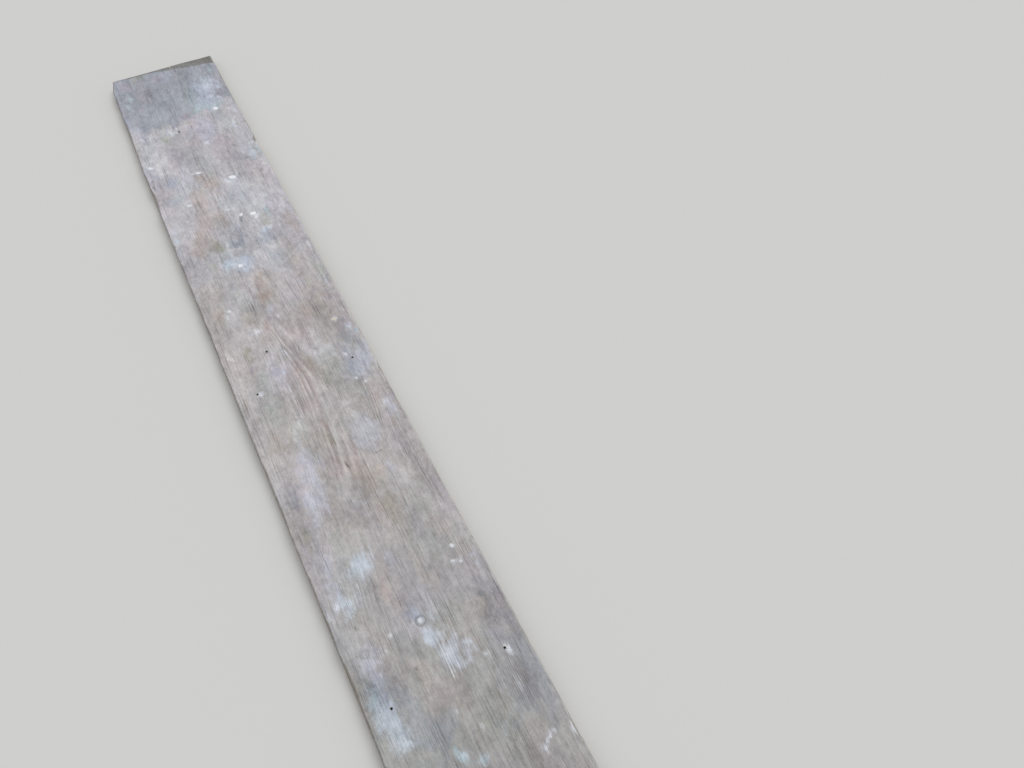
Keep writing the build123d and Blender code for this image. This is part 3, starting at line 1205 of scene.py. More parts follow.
            (1969, 275, 18, 6, 0.9), (1969, 234, 16, 16, 0.6), (2125, 236, 10, 9, 0.7),
            (2236, 44, 14, 11, 0.7),
        ),
        Tint.SMOKE: listed(
            Mark,
            (24, 92, 30, 34, 0.5), (196, 34, 60, 30, 0.8), (40, 190, 50, 30, 0.6),
            (1110, 242, 74, 34, 0.7), (1840, 140, 84, 60, 0.45), (1385, 28, 74, 30, 0.6),
            (468, 232, 14, 12, 0.9), (546, 222, 12, 18, 0.7), (410, 217, 16, 18, 0.6),
            (674, 165, 15, 11, 0.9), (737, 122, 20, 22, 0.9), (1806, 62, 38, 14, 0.9),
            (1860, 246, 110, 44, 1.4), (1866, 88, 76, 38, 1.1), (1750, 250, 76, 40, 0.6),
            (1925, 232, 26, 20, 0.8), (2140, 210, 50, 30, 0.7), (2300, 110, 40, 40, 0.6),
        ),
        Tint.GRAIN: listed(
            Mark,
            (510, 120, 80, 30, 0.5), (620, 104, 90, 34, 0.4), (880, 130, 90, 34, 0.7),
            (960, 24, 70, 24, 0.8), (1030, 140, 110, 40, 1), (1180, 136, 150, 44, 1.2),
            (1340, 140, 120, 44, 1), (1300, 240, 110, 30, 0.8), (1400, 250, 110, 26, 0.7),
            (1620, 72, 60, 30, 0.5), (1650, 250, 50, 26, 0.5), (1770, 165, 60, 26, 1.2),
            (1850, 230, 70, 36, 0.8), (2080, 150, 140, 50, 0.9), (2260, 110, 120, 50, 0.8),
        ),
        Tint.DARK: listed(
            Mark,
            (8, 225, 9, 44, 0.5), (20, 195, 16, 12, 0.25), (292, 117, 9, 4, 0.9), (303, 116, 5, 4, 0.4),
            (330, 40, 12, 3, 0.3), (346, 160, 3, 9, 0.3), (382, 136, 4, 10, 0.4),
            (416, 224, 14, 5, 0.25), (455, 107, 4, 4, 0.4), (455, 144, 5, 4, 0.35),
            (473, 10, 14, 4, 0.5), (484, 147, 7, 3, 0.4), (468, 232, 5, 6, 0.3), (628, 144, 9, 9, 0.3),
            (774, 118, 5, 9, 0.5), (778, 149, 9, 8, 0.4), (846, 6, 6, 6, 0.4), (968, 14, 22, 4, 0.4),
            (1064, 91, 5, 5, 0.7), (1082, 151, 20, 2.4, 0.7), (1168, 43, 6, 4, 0.5),
            (1214, 50, 4, 3, 0.5), (1335, 150, 30, 1.8, 0.6), (1384, 138, 17, 2.6, 0.8, 6),
            (1384, 200, 3, 20, 0.5, 6), (1604, 62, 8, 4, 0.35), (1745, 246, 60, 26, 0.4),
            (1855, 108, 66, 54, 0.28), (1872, 246, 64, 30, 0.4), (1672, 40, 8, 4, 0.4),
            (1777, 100, 6, 5, 0.6), (1776, 64, 9, 6, 0.4), (1812, 78, 14, 8, 0.25),
        ),
    }


@dataclass
class FaceMarks:
    """What years of use left on the face, as soft patches of each tint, worked out in its shader."""

    board: Board
    weave: FinishWeaver
    little: Noise = Noise((12.0, 8.0, 8.0), 1.0)
    little_push: Triple = (9.0, 6.0, 0.0)
    large: Noise = Noise((52.0, 30.0, 30.0))
    large_push: Triple = (80.0, 46.0, 0.0)
    ragged: Noise = Noise((34.0, 24.0, 24.0), 4.0, 0.8)
    ragged_factors: Triple = (2.2, 1.0, 1.0)
    print_ragged: float = 5.0
    slate_edge: Course = (
        (0, 254), (35, 260), (70, 260), (120, 261), (160, 250), (195, 232), (235, 214), (280, 200),
    )
    slate_softness: float = 15.0
    # How far back of the skew-sawn end the darker band reaches, by distance across from the left edge.
    end_band: Course = ((0, 2), (60, 5), (120, 9), (170, 17), (205, 27), (240, 32), (280, 38))
    ageing: Course = (
        (0, 1), (500, 1), (900, 0.9), (1300, 0.8), (1560, 0.6), (1700, 0.4), (1860, 0.04),
        (2100, 0.1), (2400, 0.3),
    )
    warming: Course = (
        (0, 0), (640, 0), (900, 0.5), (1100, 0.7), (1400, 0.6), (1600, 0.25), (1860, 0.1),
        (2400, 0.3),
    )
    nail_prints: tuple[RingMark, ...] = listed(
        RingMark,
        (1710, 138, 8.2, 3.8, 0.5),
        (1718, 37, 6.4, 3.4, 0.26),
    )
    patches: dict[Tint, tuple[Mark, ...]] = field(default_factory=face_patches)

    @cached_property
    def fine(self) -> Socket:
        """The point, pushed about a little."""
        little = self.weave.clouds(self.weave.place, self.little)
        return self.weave.vector("MULTIPLY_ADD", little, self.little_push, self.weave.place)

    @cached_property
    def broad(self) -> Socket:
        """The point, pushed about enough to break up a large mark's outline."""
        large = self.weave.clouds(self.weave.place, self.large)
        return self.weave.vector("MULTIPLY_ADD", large, self.large_push, self.fine)

    @cached_property
    def rough(self) -> tuple[Socket, ...]:
        """Unevenness of a few centimetres: one for rims, one for lightness and one for edges."""
        rough = self.weave.clouds(self.weave.place, self.ragged)
        return self.weave.split(self.weave.vector("MULTIPLY", rough, self.ragged_factors))

    def follow(self, place: Socket, way: Way, course: Course) -> Socket:
        """Follows a course from the tip back, or from the left edge across, to a point."""
        start = (self.board.tip, self.board.left)[way.value]
        return self.weave.curve(self.weave.less(start, self.weave.split(place)[way.value]), course)

    def slate_share(self) -> Socket:
        """Finds the stained band at the skew-sawn end, which stops at an uneven line.

        Returns:
            1 in the band and 0 beyond it.
        """
        weave = self.weave
        back = weave.less(self.board.tip, weave.split(self.broad)[0])
        past = weave.less(back, self.follow(self.broad, Way.ACROSS, self.slate_edge))
        return weave.grade(past, -self.slate_softness, self.slate_softness, 1.0, 0.0)

    def prints(self) -> Socket:
        """Finds the dark circles that nail heads printed.

        Returns:
            How dark they are at the point.
        """
        weave = self.weave
        darkest = 0.0
        for ring in self.nail_prints:
            x, y = self.board.place(ring.back, ring.across)
            flat = weave.vector("MULTIPLY_ADD", weave.place, (1.0, 1.0, 0.0), (-x, -y, 0.0))
            off = weave.math("ABSOLUTE", weave.less(weave.length(flat), ring.radius))
            broken = weave.plus(off, self.rough[0], -self.print_ragged)
            share = weave.grade(broken, 0.0, ring.half_width, ring.strength, 0.0)
            darkest = weave.math("MAXIMUM", darkest, share)
        return darkest

    def depth_in(self, tint: Tint, small: float = 11.0) -> Socket:
        """Finds how deep in the marks of one tint a point lies.

        Args:
            tint: the tint.
            small: the reach under which a mark's outline is broken up only a little.

        Returns:
            The mark's strength at its middle, 0 at its rim and less beyond it.
        """
        weave = self.weave
        far_outside = -9.0
        deepest = far_outside
        for mark in self.patches[tint]:
            x, y = self.board.place(mark.back, mark.across)
            moved = self.fine if min(mark.along, mark.half_width) < small else self.broad
            if mark.turn:
                moved = weave.turned(moved, (x, y, 0.0), -math.radians(mark.turn))
            size = (1 / mark.along, 1 / mark.half_width, 0.0)
            shift = (-x / mark.along, -y / mark.half_width, 0.0)
            reach = weave.length(weave.vector("MULTIPLY_ADD", moved, size, shift))
            depth = weave.plus(mark.strength, reach, -mark.strength)
            deepest = weave.math("MAXIMUM", deepest, depth)
        return deepest

    def keep_sides(self, mesh: bpy.types.Mesh) -> None:
        """Keeps on the mesh which side of the board each point is on, and how near a hole or an edge.

        Args:
            mesh: the board's mesh, in metres.
        """
        count = len(mesh.vertices)
        flat = np.empty(count * 3)
        mesh.vertices.foreach_get("co", flat)
        x, y, _ = (flat.reshape(-1, 3) / MM).T
        normals = np.empty(count * 3)
        mesh.vertex_normals.foreach_get("vector", normals)
        outward_x, _, outward_z = normals.reshape(-1, 3).T
        far_from_holes = 100.0
        near = np.full(count, far_from_holes)
        for hole in self.board.nail_holes():
            near = np.minimum(near, np.hypot(x - hole.x, y - hole.y))
        lost = self.board.thickness - self.board.face_height(x, y)
        numbers = {
            "top": smooth_step(outward_z, 0.3, 0.85),
            "under": smooth_step(-outward_z, 0.4, 0.8),
            "end": smooth_step(np.abs(outward_x), 0.6, 0.9),
            "from_hole": near,
            "split": smooth_step(lost, 0.03, 0.5),
            "from_end": self.board.tip - self.board.sawn_off(y) - x,
            "from_left": self.board.left_edge(x) - y,
            "from_right": y - self.board.right,
        }
        keep_numbers(mesh, numbers)


@dataclass(frozen=True)
class Coat:
    """How one tint lies on the face: its colour, how much it hides and how soft its rim is."""

    tint: Tint
    tone: Tone
    cover: float
    rim: float = 0.7
    ragged: float = 1.0


@dataclass(frozen=True)
class WornPine:
    """The finish of the whole board: old pine, weathered grey and lilac, with paint worn into it."""

    weave: FinishWeaver
    rings: GrowthRings
    marks: FaceMarks
    lilac_film: Tone = Tone(178, 176, 182)
    grey_film: Tone = Tone(150, 150, 150)
    warm_film: Tone = Tone(171, 166, 164)
    early_wood: Tone = Tone(175, 167, 166)
    late_wood: Tone = Tone(149, 139, 136)
    pale_wood: Tone = Tone(197, 192, 190)
    slate_stain: Tone = Tone(152, 156, 166)
    dirt: Tone = Tone(96, 92, 88)
    split_wood: Tone = Tone(122, 120, 116)
    # Pale worn paint on the right arris, also a painted highlight where the light from the right catches
    # it.
    pale_arris_and_highlight: Tone = Tone(206, 205, 202)
    sawn_wood: Tone = Tone(158, 142, 120)
    edge_wood: Tone = Tone(150, 143, 134)
    end_wood: Tone = Tone(132, 122, 108)
    scrapes: Noise = Noise((36.0, 2.8, 2.8))
    face_dapple: Noise = Noise((20.0, 12.0, 12.0), 4.0, 0.9)
    face_drift: Noise = Noise((120.0, 60.0, 60.0), 1.0)
    face_fibres: Noise = Noise((34.0, 1.5, 1.5))
    edge_grime: Noise = Noise((120.0, 30.0, 9.0), 4.0, 0.65)
    edge_fibres: Noise = Noise((46.0, 1.4, 1.4), 3.0)
    saw_marks: Noise = Noise((2.4, 70.0, 20.0))
    underside_stains: Noise = Noise((260.0, 120.0, 20.0), 4.0, 0.6)
    underside_fibres: Noise = Noise((40.0, 1.6, 1.6))
    end_pores: Noise = Noise((8.0, 1.2, 1.2))
    end_grime: Noise = Noise((40.0, 22.0, 22.0), 3.0, 0.6)
    cracks: Noise = Noise((80.0, 0.9, 0.9))
    crack_crowding: Noise = Noise((150.0, 14.0, 14.0))
    crack_edge: Pair = (0.76, 0.86)
    bump_fibres: Noise = Noise((30.0, 1.3, 1.3))
    bump_dents: Noise = Noise((14.0, 8.0, 8.0), 3.0, 0.7)
    bump_saw: Noise = Noise((1.9, 60.0, 20.0), 1.0)
    bump_height: float = 0.25
    bump_strength: float = 0.5
    end_band_softness: float = 4.0
    # How far in from the right arris its pale worn rim and painted highlight reach.
    wear_and_highlight_within: Pair = (0.8, 3.6)
    # How far in from the left arris its grime and painted shade reach.
    grime_and_shade_within: Pair = (0.6, 4.2)
    holes_stain: Pair = (1.8, 3.8)
    films: tuple[Coat, ...] = (
        Coat(Tint.PALE, Tone(193, 193, 197), 0.85, 0.8),
        Coat(Tint.GREY, Tone(160, 163, 160), 0.8, 0.9),
        Coat(Tint.GREEN, Tone(169, 173, 166), 0.85, 0.9),
        Coat(Tint.BROWN, Tone(164, 155, 149), 0.8, 0.9),
        Coat(Tint.OLIVE, Tone(151, 150, 138), 0.75, 0.8),
        Coat(Tint.HAZE, Tone(161, 167, 178), 0.85, 0.9),
        Coat(Tint.PLUM, Tone(157, 150, 161), 0.85, 0.8),
        Coat(Tint.TEAL, Tone(168, 182, 189), 0.85),
        Coat(Tint.LILAC, Tone(178, 179, 190), 0.85, 0.7),
        Coat(Tint.SMOKE, Tone(141, 144, 152), 0.8, 0.8),
    )
    paints: tuple[Coat, ...] = (
        Coat(Tint.RUST, Tone(173, 155, 147), 0.65, 0.9),
        Coat(Tint.BLUE, Tone(186, 194, 207), 0.8, 0.8, 0.6),
        Coat(Tint.WHITE, Tone(208, 212, 219), 0.8, 0.9, 0.8),
    )

    @cached_property
    def wood(self) -> tuple[Socket, ...]:
        """How much of the wood is late wood, and how much is the pale start of a ring."""
        return self.rings.wood(self.weave, self.weave.place)[:2]

    @property
    def late(self) -> Socket:
        """How much of the wood is late wood."""
        return self.wood[0]

    @cached_property
    def hairlines(self) -> Socket:
        """Finds the hairline cracks that run along the fibres, thicker in some places than in others.

        Returns:
            1 in a crack and 0 beside it.
        """
        weave = self.weave
        thin = weave.noise(weave.place, self.cracks)
        crowded = weave.noise(weave.place, self.crack_crowding)
        return weave.grade(weave.plus(thin, crowded, 0.35), *self.crack_edge)

    def lay(self, tone: Socket, coats: tuple[Coat, ...], ragged: Socket) -> Socket:
        """Lays tints over what is there, one after the other.

        Args:
            tone: the colour so far.
            coats: the looks of the tints.
            ragged: the unevenness that breaks up rims.

        Returns:
            The new colour.
        """
        weave = self.weave
        for coat in coats:
            reach = weave.plus(self.marks.depth_in(coat.tint), ragged, coat.ragged)
            share = weave.grade(reach, 0.02, coat.rim, 0.0, coat.cover)
            tone = weave.mix(share, tone, coat.tone)
        return tone

    def ground(self) -> Socket:
        """Colours the weathered film that covers the face, and the stained band at its end.

        Returns:
            The colour.
        """
        weave = self.weave
        marks = self.marks
        aged = marks.follow(weave.place, Way.BACK, marks.ageing)
        film = weave.mix(aged, self.grey_film, self.lilac_film)
        warmed = marks.follow(weave.place, Way.BACK, marks.warming)
        film = weave.mix(warmed, film, self.warm_film)
        slate = weave.times(marks.slate_share(), 0.95)
        return weave.mix(slate, film, self.slate_stain)

    def face(self) -> Socket:
        """Colours the walked-on face.

        Returns:
            The colour.
        """
        weave = self.weave
        late, pale = self.wood
        ragged = self.marks.rough[0]
        tone = self.lay(self.ground(), self.films, ragged)
        bare = weave.plus(weave.plus(self.marks.depth_in(Tint.BARE), ragged, 0.8), late, 0.2)
        bare = weave.grade(bare, -0.3, 0.75, 0.0, 0.85)
        tone = weave.mix(bare, tone, self.early_wood)
        grain = weave.plus(self.marks.depth_in(Tint.GRAIN), ragged, 1.2)
        grain = weave.grade(grain, 0.0, 1.0, 0.1, 0.75)
        shown = weave.math("MAXIMUM", grain, weave.times(bare, 0.3))
        lines = weave.times(shown, late)
        tone = weave.mix(weave.times(lines, 0.75), tone, self.late_wood)
        starts = weave.times(shown, pale)
        tone = weave.mix(weave.times(starts, 0.6), tone, self.pale_wood)
        scraped = weave.ripple(weave.place, self.scrapes)
        broken = weave.plus(weave.plus(ragged, scraped, 1.3), late, -0.2)
        tone = self.lay(tone, self.paints, broken)
        tone = weave.mix(weave.times(lines, 0.4), tone, self.late_wood)
        return self.soil(self.dapple(tone))

    def dapple(self, tone: Socket) -> Socket:
        """Breaks a colour up into the small clouds, streaks and pits of worn wood.

        Args:
            tone: the colour.

        Returns:
            The uneven colour.
        """
        weave = self.weave
        near = weave.vector("ADD", weave.place, (70.0, 900.0, 0.0))
        far = weave.vector("ADD", weave.place, (0.0, 400.0, 60.0))
        small = weave.clouds(near, self.face_dapple)
        slow = weave.clouds(far, self.face_drift)
        small_light, small_hue, small_green = weave.split(small)
        slow_light, slow_hue, slow_green = weave.split(slow)
        fibre = weave.ripple(weave.place, self.face_fibres)
        light = 1.06
        parts = ((small_light, 1.1), (slow_light, 0.7), (self.marks.rough[1], 0.85), (fibre, 0.3))
        for part, factor in parts:
            light = weave.plus(light, part, factor)
        warm = weave.plus(weave.times(small_hue, 0.02), slow_hue, 0.13)
        leafy = weave.plus(weave.times(small_green, 0.1), slow_green, 0.12)
        red = weave.math("ADD", light, warm)
        green = weave.math("ADD", light, leafy)
        return weave.vector("MULTIPLY", tone, weave.join(red, green, weave.less(light, warm)))

    def soil(self, tone: Socket) -> Socket:
        """Adds the dirt, the torn wood of the split, a darker band along the skew-sawn end, a pale worn
        rim with a painted highlight on the right arris, and grime with painted shade on the left arris.

        Args:
            tone: the face's colour.

        Returns:
            The colour with its dirt and its arrises.
        """
        weave = self.weave
        marks = self.marks
        ragged, _, fade = marks.rough
        dark = weave.plus(marks.depth_in(Tint.DARK, math.inf), ragged, 0.5)
        dark = weave.grade(dark, 0.0, 0.9, 0.0, 0.9)
        tone = weave.mix(weave.math("MAXIMUM", dark, marks.prints()), tone, self.dirt)
        # A darker band of split-wood colour along the skew-sawn end, narrow at the left and wider to the
        # right.
        reach = marks.follow(marks.fine, Way.ACROSS, marks.end_band)
        past = weave.less(weave.plus(weave.number("from_end"), fade, 14.0), reach)
        end_darkened = weave.grade(past, -self.end_band_softness, self.end_band_softness, 0.8, 0.0)
        tone = weave.mix(end_darkened, tone, weave.shade(self.split_wood, weave.math("ADD", 1.0, fade)))
        torn = weave.shade(self.split_wood, weave.plus(1.0, ragged, 0.4))
        tone = weave.mix(weave.number("split"), tone, torn)
        # Pale worn paint along the right arris, lightened further as a painted highlight where the key
        # light from the right catches it.
        from_right = weave.plus(weave.number("from_right"), fade, 9.0)
        wear_and_highlight = weave.grade(from_right, *self.wear_and_highlight_within, 0.6, 0.0)
        tone = weave.mix(wear_and_highlight, tone, self.pale_arris_and_highlight)
        # Grime along the left arris, darkened with the dirt tone also as painted shade on the side away
        # from the light.
        from_left = weave.plus(weave.number("from_left"), fade, 12.0)
        return weave.mix(weave.grade(from_left, *self.grime_and_shade_within, 0.6, 0.0), tone, self.dirt)

    def long_edge(self) -> Socket:
        """Colours the planed long edges, grimy in patches.

        Returns:
            The colour.
        """
        weave = self.weave
        grime = weave.noise(weave.place, self.edge_grime)
        fibre = weave.noise(weave.place, self.edge_fibres)
        tone = weave.shade(self.edge_wood, weave.plus(1.06, self.late, -0.08))
        tone = weave.shade(tone, weave.plus(0.75, fibre, 0.5))
        return weave.mix(weave.grade(grime, 0.42, 0.72, 0.0, 0.75), tone, weave.shade(self.dirt, 1.2))

    def underside(self) -> Socket:
        """Colours the sawn underside, with the saw's marks across it and stains.

        Returns:
            The colour.
        """
        weave = self.weave
        saw = weave.noise(weave.place, self.saw_marks)
        stain = weave.noise(weave.place, self.underside_stains)
        fibre = weave.noise(weave.place, self.underside_fibres)
        tone = weave.shade(self.sawn_wood, weave.plus(1.08, self.late, -0.24))
        tone = weave.shade(tone, weave.plus(0.8, saw, 0.4))
        tone = weave.shade(tone, weave.plus(0.85, fibre, 0.3))
        return weave.mix(weave.grade(stain, 0.45, 0.7, 0.0, 0.6), tone, weave.shade(self.dirt, 1.45))

    def sawn_end(self) -> Socket:
        """Colours the end grain, whose rings show dark.

        Returns:
            The colour.
        """
        weave = self.weave
        pores = weave.noise(weave.place, self.end_pores)
        grime = weave.noise(weave.place, self.end_grime)
        tone = weave.shade(self.end_wood, weave.plus(1.12, self.late, -0.36))
        tone = weave.shade(tone, weave.plus(0.75, pores, 0.5))
        return weave.mix(weave.grade(grime, 0.42, 0.68, 0.0, 0.6), tone, self.dirt)

    def bump(self) -> Socket:
        """Gives the surface its fibres, its hard rings and its saw marks, too fine for the mesh.

        Returns:
            The surface's direction.
        """
        weave = self.weave
        fibre = weave.noise(weave.place, self.bump_fibres)
        dents = weave.noise(weave.place, self.bump_dents)
        saw = weave.noise(weave.place, self.bump_saw)
        height = weave.times(fibre, 0.3)
        under = weave.times(weave.number("under"), 1.6)
        for part, factor in ((self.late, 0.22), (dents, 1.2), (self.hairlines, -0.7), (saw, under)):
            height = weave.plus(height, part, factor)
        feeds = {"Height": height, "Strength": self.bump_strength, "Distance": self.bump_height * MM}
        return weave.node("ShaderNodeBump", feeds).outputs[0]

    def material(self) -> bpy.types.Material:
        """Makes the board's material.

        Returns:
            The material.
        """
        weave = self.weave
        tone = weave.mix(weave.number("top"), self.long_edge(), self.face())
        tone = weave.mix(weave.number("under"), tone, self.underside())
        tone = weave.shade(tone, weave.plus(1.0, self.hairlines, -0.4))
        tone = weave.mix(weave.number("end"), tone, self.sawn_end())
        holed = weave.grade(weave.number("from_hole"), *self.holes_stain, 0.6, 0.0)
        feeds = {
            "Base Color": weave.mix(holed, tone, self.dirt),
            "Roughness": weave.plus(0.84, self.late, -0.1),
            "Specular IOR Level": 0.25,
            "Normal": self.bump(),
        }
        return weave.finish(feeds)


@dataclass(frozen=True)
class DriedPaint:
    """The finish of paint that dried in drops: white where it is thick, bluish or cream where thin."""

    thick: Tone = Tone(236, 238, 243)
    cool: Tone = Tone(205, 208, 214)
    cream: Tone = Tone(208, 201, 189)
    grime: Noise = Noise((5.0, 4.0, 4.0), 3.0, 0.6)

    def material(self) -> bpy.types.Material:
        """Makes the paint's material.

        Returns:
            The material.
        """
        weave = FinishWeaver("dried_paint")
        grime = weave.noise(weave.place, self.grime)
        tone = weave.mix(weave.number("thick"), self.cool, self.thick)
        tone = weave.mix(weave.number("cream"), tone, self.cream)
        tone = weave.shade(tone, weave.plus(0.74, grime, 0.45))
        return weave.finish({"Base Color": tone, "Roughness": 0.6, "Specular IOR Level": 0.3})


@dataclass
class PaintSpatter:
    """Drops of paint that dried on the face, with small specks scattered among them."""

    board: Board
    thickness: float = 0.45
    speck_thinner: float = 0.15
    sunk: float = 0.02
    thin_width: float = 6.0
    thick_width: float = 11.0
    specks: int = 150
    least_speck: float = 0.5
    most_speck: float = 1.3
    speck_stretch: Pair = (0.7, 1.3)
    specks_back: Pair = (20.0, 2380.0)
    specks_across: Pair = (16.0, 264.0)
    most_turn: float = 3.1
    speck_subdivisions: int = 1
    drop_subdivisions: int = 3
    lobe_size: float = 1.3
    lobe_height: float = 30.0
    fall_height: float = 60.0
    ray_length: float = 0.2
    seed: int = 7
    dabs: tuple[Dab, ...] = listed(
        Dab,
        (241, 225, 14, 11, 70), (402, 19, 11, 9, 60), (469, 117, 14, 9, 80), (467, 103, 8, 6, 80),
        (519, 185, 18, 12, 75), (572, 67, 12, 8, 60), (624, 142, 13, 7, 60), (654, 165, 11, 9, 0),
        (663, 191, 16, 11, 80), (810, 115, 12, 10, 0), (928, 55, 9, 7, 30), (1046, 243, 10, 8, 40, 1),
        (1144, 230, 9, 6, 10), (1163, 47, 8, 5, 60), (1209, 227, 6, 5, 0), (1224, 240, 6, 5, 0),
        (1616, 240, 8, 7, 0), (1642, 229, 9, 5, 80), (1649, 241, 7, 5, 80), (1710, 137, 8, 7, 20),
        (1820, 244, 10, 5, 60), (2010, 96, 9, 7, 30), (2125, 236, 8, 6, 0), (2236, 44, 10, 7, 50, 0.5),
        (2311, 188, 8, 6, 0),
    )

    def drops(self) -> bpy.types.Object:
        """Makes the loose points that carry each drop's place, size and colour.

        Returns:
            The points.
        """
        chance = np.random.default_rng(self.seed)
        rows = []
        for dab in self.dabs:
            x, y = self.board.place(dab.back, dab.across)
            thick = min(max(dab.width - self.thin_width, 0.0) / (self.thick_width - self.thin_width), 1.0)
            turn = math.radians(dab.turn)
            rows.append((x, y, dab.length / 2, dab.width / 2, turn, dab.cream, 0.0, thick))
        for _ in range(self.specks):
            back = chance.uniform(*self.specks_back)
            across = chance.uniform(*self.specks_across)
            radius = self.least_speck + (self.most_speck - self.least_speck) * chance.random() ** 3
            stretch = chance.uniform(*self.speck_stretch)
            x, y = self.board.place(back, across)
            turn = chance.uniform(0.0, self.most_turn)
            rows.append((x, y, radius * stretch, radius / stretch, turn, chance.random(), 1.0, 0.0))
        x, y, *columns = np.array(rows).T
        names = ("half_length", "half_width", "turn", "cream", "speck", "thick")
        places = np.stack([x, y, np.full(len(x), self.fall_height)], axis=-1)
        made = put_mesh("paint_drops", places, [])
        keep_numbers(made.data, dict(zip(names, columns)))
        return made

    def landed(self, weave: ShapeWeaver) -> Socket:
        """Lets the loose points fall onto the wood.

        Args:
            weave: the tree that the nodes go into.

        Returns:
            The points on the face.
        """
        ray_feeds = {
            "Target Geometry": weave.shape_of("Wood"),
            "Ray Direction": (0.0, 0.0, -1.0),
            "Ray Length": self.ray_length,
        }
        fall = weave.node("GeometryNodeRaycast", ray_feeds).outputs
        feeds = {
            "Geometry": weave.given["Geometry"],
            "Selection": fall["Is Hit"],
            "Position": fall["Hit Position"],
        }
        return weave.node("GeometryNodeSetPosition", feeds).outputs[0]

    def build(self, wood: bpy.types.Object) -> bpy.types.Object:
        """Drops each shape onto the wood as a Geometry Nodes tree, and settles it.

        Args:
            wood: the finished board.

        Returns:
            The finished piece.
        """
        points = self.drops()
        inputs = {
            "Wood": wood,
            "Thickness": self.thickness,
            "Face Height": (self.board.thickness - self.sunk) * MM,
            "Finish": DriedPaint().material(),
        }
        weave = ShapeWeaver("paint_spatter", inputs)
        half_width = weave.number("half_width")
        speck = weave.number("speck")
        high = weave.plus(weave.given["Thickness"], speck, -self.speck_thinner)
        half = weave.join(weave.number("half_length"), half_width, high)
        copy_feeds = {
            "Points": self.landed(weave),
            "Rotation": weave.join(0.0, 0.0, weave.number("turn")),
            "Scale": weave.vector("MULTIPLY", half, (MM,) * 3),
        }
        joined = weave.node("GeometryNodeJoinGeometry")
        for subdivisions, chosen in ((self.speck_subdivisions, 1.0), (self.drop_subdivisions, 0.0)):
            feeds = {"Radius": 1.0, "Subdivisions": subdivisions}
            drop = weave.node("GeometryNodeMeshIcoSphere", feeds).outputs["Mesh"]
            alike = weave.math("COMPARE", speck, chosen, 0.5)
            feeds = {**copy_feeds, "Selection": alike, "Instance": drop}
            copies = weave.node("GeometryNodeInstanceOnPoints", feeds)
            weave.feed(joined.inputs[0], copies.outputs[0])
        spread = weave.times(half_width, MM)
        lobe = weave.times(half_width, self.lobe_size)
        lobes = Noise(weave.join(lobe, lobe, self.lobe_height), 1.0)
        wave = weave.clouds(weave.in_mm(weave.position), lobes)
        push = weave.vector("MULTIPLY", wave, weave.join(spread, spread, 0.0))
        x, y, z = weave.split(weave.vector("ADD", weave.position, push))
        level = weave.join(x, y, weave.math("MINIMUM", z, weave.given["Face Height"]))
        feeds = {"Geometry": weave.real(joined.outputs[0]), "Position": level}
        shaped = weave.node("GeometryNodeSetPosition", feeds).outputs[0]
        smooth = weave.node("GeometryNodeSetShadeSmooth", {0: shaped})
        weave.grow(smooth.outputs[0], points)
        made = settle(points, "paint_spatter")
        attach(made, BODY)
        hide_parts(NODE)
        return made


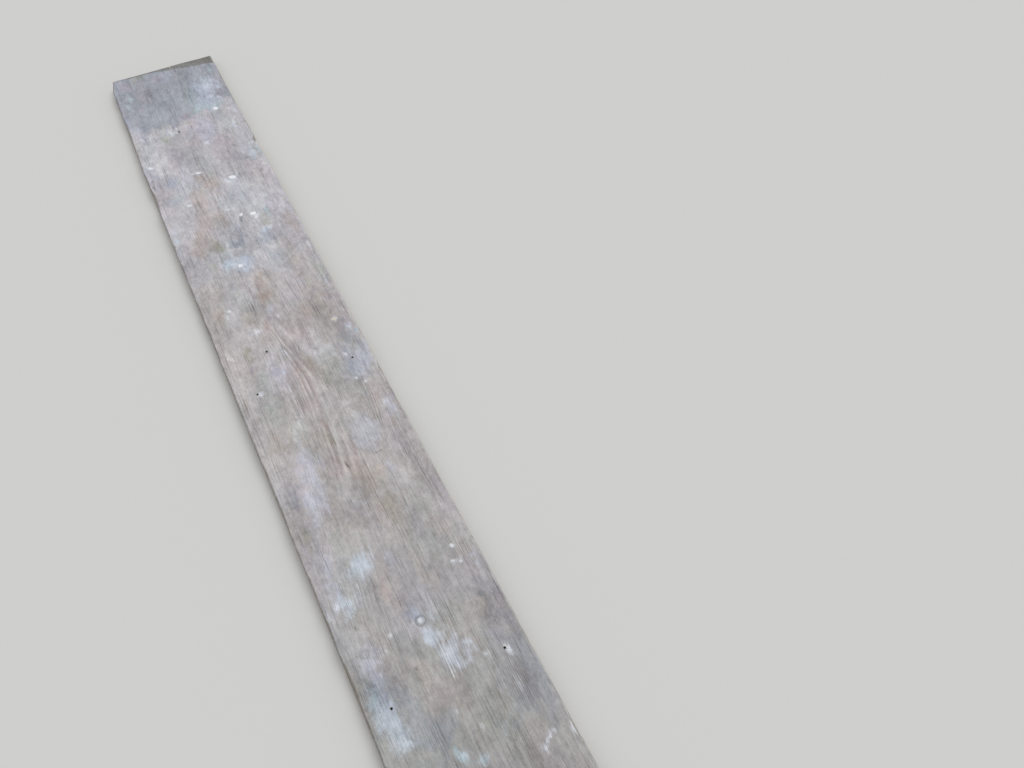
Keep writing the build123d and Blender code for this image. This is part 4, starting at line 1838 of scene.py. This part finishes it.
@dataclass
class Studio:
    """The plain pale floor, the soft light and the camera."""

    floor_tone: Tone = Tone(208, 208, 206)
    floor_size: float = 40000.0
    sky: float = 0.64
    key: float = 1.2
    key_spread: float = 50.0
    key_from: Triple = (0.25, -0.4, 1.0)
    camera_place: Triple = (-930.0, 89.2, 1295.0)
    heading: float = -117.5
    tilt: float = 34.82
    roll: float = -1.47
    lens: float = 27.43
    sensor: float = 36.0

    def build(self) -> None:
        """Builds the floor, the light and the camera."""
        self.floor()
        self.world()
        self.lamp()
        self.camera()

    def floor(self) -> None:
        """Lays the floor that the board rests on."""
        half = self.floor_size / 2
        corners = [(-half, -half, 0.0), (half, -half, 0.0), (half, half, 0.0), (-half, half, 0.0)]
        made = put_mesh("floor", np.array(corners), [(0, 1, 2, 3)])
        feeds = {"Base Color": self.floor_tone, "Roughness": 0.9, "Specular IOR Level": 0.1}
        made.data.materials.append(FinishWeaver("pale_floor").finish(feeds))

    def world(self) -> None:
        """Makes the even light of the room, which the camera sees as the floor's own tone."""
        world = bpy.data.worlds.new("studio")
        world.use_nodes = True
        bpy.context.scene.world = world
        weave = Weaver(world.node_tree)
        white = Tone(255, 255, 255)
        light = weave.node("ShaderNodeBackground", {"Color": white, "Strength": self.sky})
        seen = weave.node("ShaderNodeBackground", {"Color": self.floor_tone, "Strength": 1.0})
        rays = weave.node("ShaderNodeLightPath").outputs
        shown = weave.math("MAXIMUM", rays["Is Camera Ray"], rays["Is Glossy Ray"])
        shown = weave.math("MAXIMUM", shown, rays["Is Transmission Ray"])
        feeds = {0: shown, 1: light.outputs[0], 2: seen.outputs[0]}
        chosen = weave.node("ShaderNodeMixShader", feeds)
        weave.node("ShaderNodeOutputWorld", {"Surface": chosen.outputs[0]})

    def lamp(self) -> None:
        """Adds the soft key light from high on the right."""
        data = bpy.data.lights.new("key_light", "SUN")
        data.energy = self.key
        data.angle = math.radians(self.key_spread)
        made = put("key_light", data)
        made.rotation_euler = Vector(self.key_from).to_track_quat("Z", "Y").to_euler()

    def camera(self) -> None:
        """Sets up the camera over the near part of the board, at the photo's viewing angle."""
        data = bpy.data.cameras.new("camera")
        data.sensor_width = self.sensor
        data.lens = self.lens
        made = put("camera", data)
        turned = Matrix.Translation(Vector(self.camera_place) * MM)
        for angle, axis in ((self.heading, "Z"), (self.tilt, "X"), (self.roll, "Y")):
            turned = turned @ Matrix.Rotation(math.radians(angle), 4, axis)
        made.matrix_world = turned
        bpy.context.scene.camera = made
        bpy.context.scene.view_settings.view_transform = "Standard"


@dataclass
class DressedBoard:
    """The whole visible board: its worn shape, its cuts, its marks and its finish."""

    board: Board
    rings: GrowthRings
    sharp_from: float = 38.0

    def build(self) -> bpy.types.Object:
        """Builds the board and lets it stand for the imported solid.

        Returns:
            The finished piece.
        """
        weave = FinishWeaver("worn_pine")
        marks = FaceMarks(self.board, weave)
        finish = WornPine(weave, self.rings, marks).material()
        shell = self.board.shell()
        RaisedGrain(self.rings, finish).apply(shell)
        helpers = NailsAndCheck(self.board, finish).apply(shell)
        made = settle(shell, "pine_board")
        for helper in helpers:
            bpy.data.objects.remove(helper)
        mesh = made.data
        marks.keep_sides(mesh)
        mesh.shade_smooth()
        mesh.set_sharp_from_angle(angle=math.radians(self.sharp_from))
        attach(made, BODY)
        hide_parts(NODE)
        return made


def main() -> None:
    """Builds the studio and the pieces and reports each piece."""
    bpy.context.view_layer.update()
    Studio().build()
    log.info("studio built")
    board = Board()
    wood = DressedBoard(board, GrowthRings()).build()
    spatter = PaintSpatter(board).build(wood)
    for piece in (wood, spatter):
        piece.data.calc_loop_triangles()
        log.info("%s: %d triangles", piece.name, len(piece.data.loop_triangles))


if __name__ == "__main__":
    logging.basicConfig(level=logging.INFO)
    main()
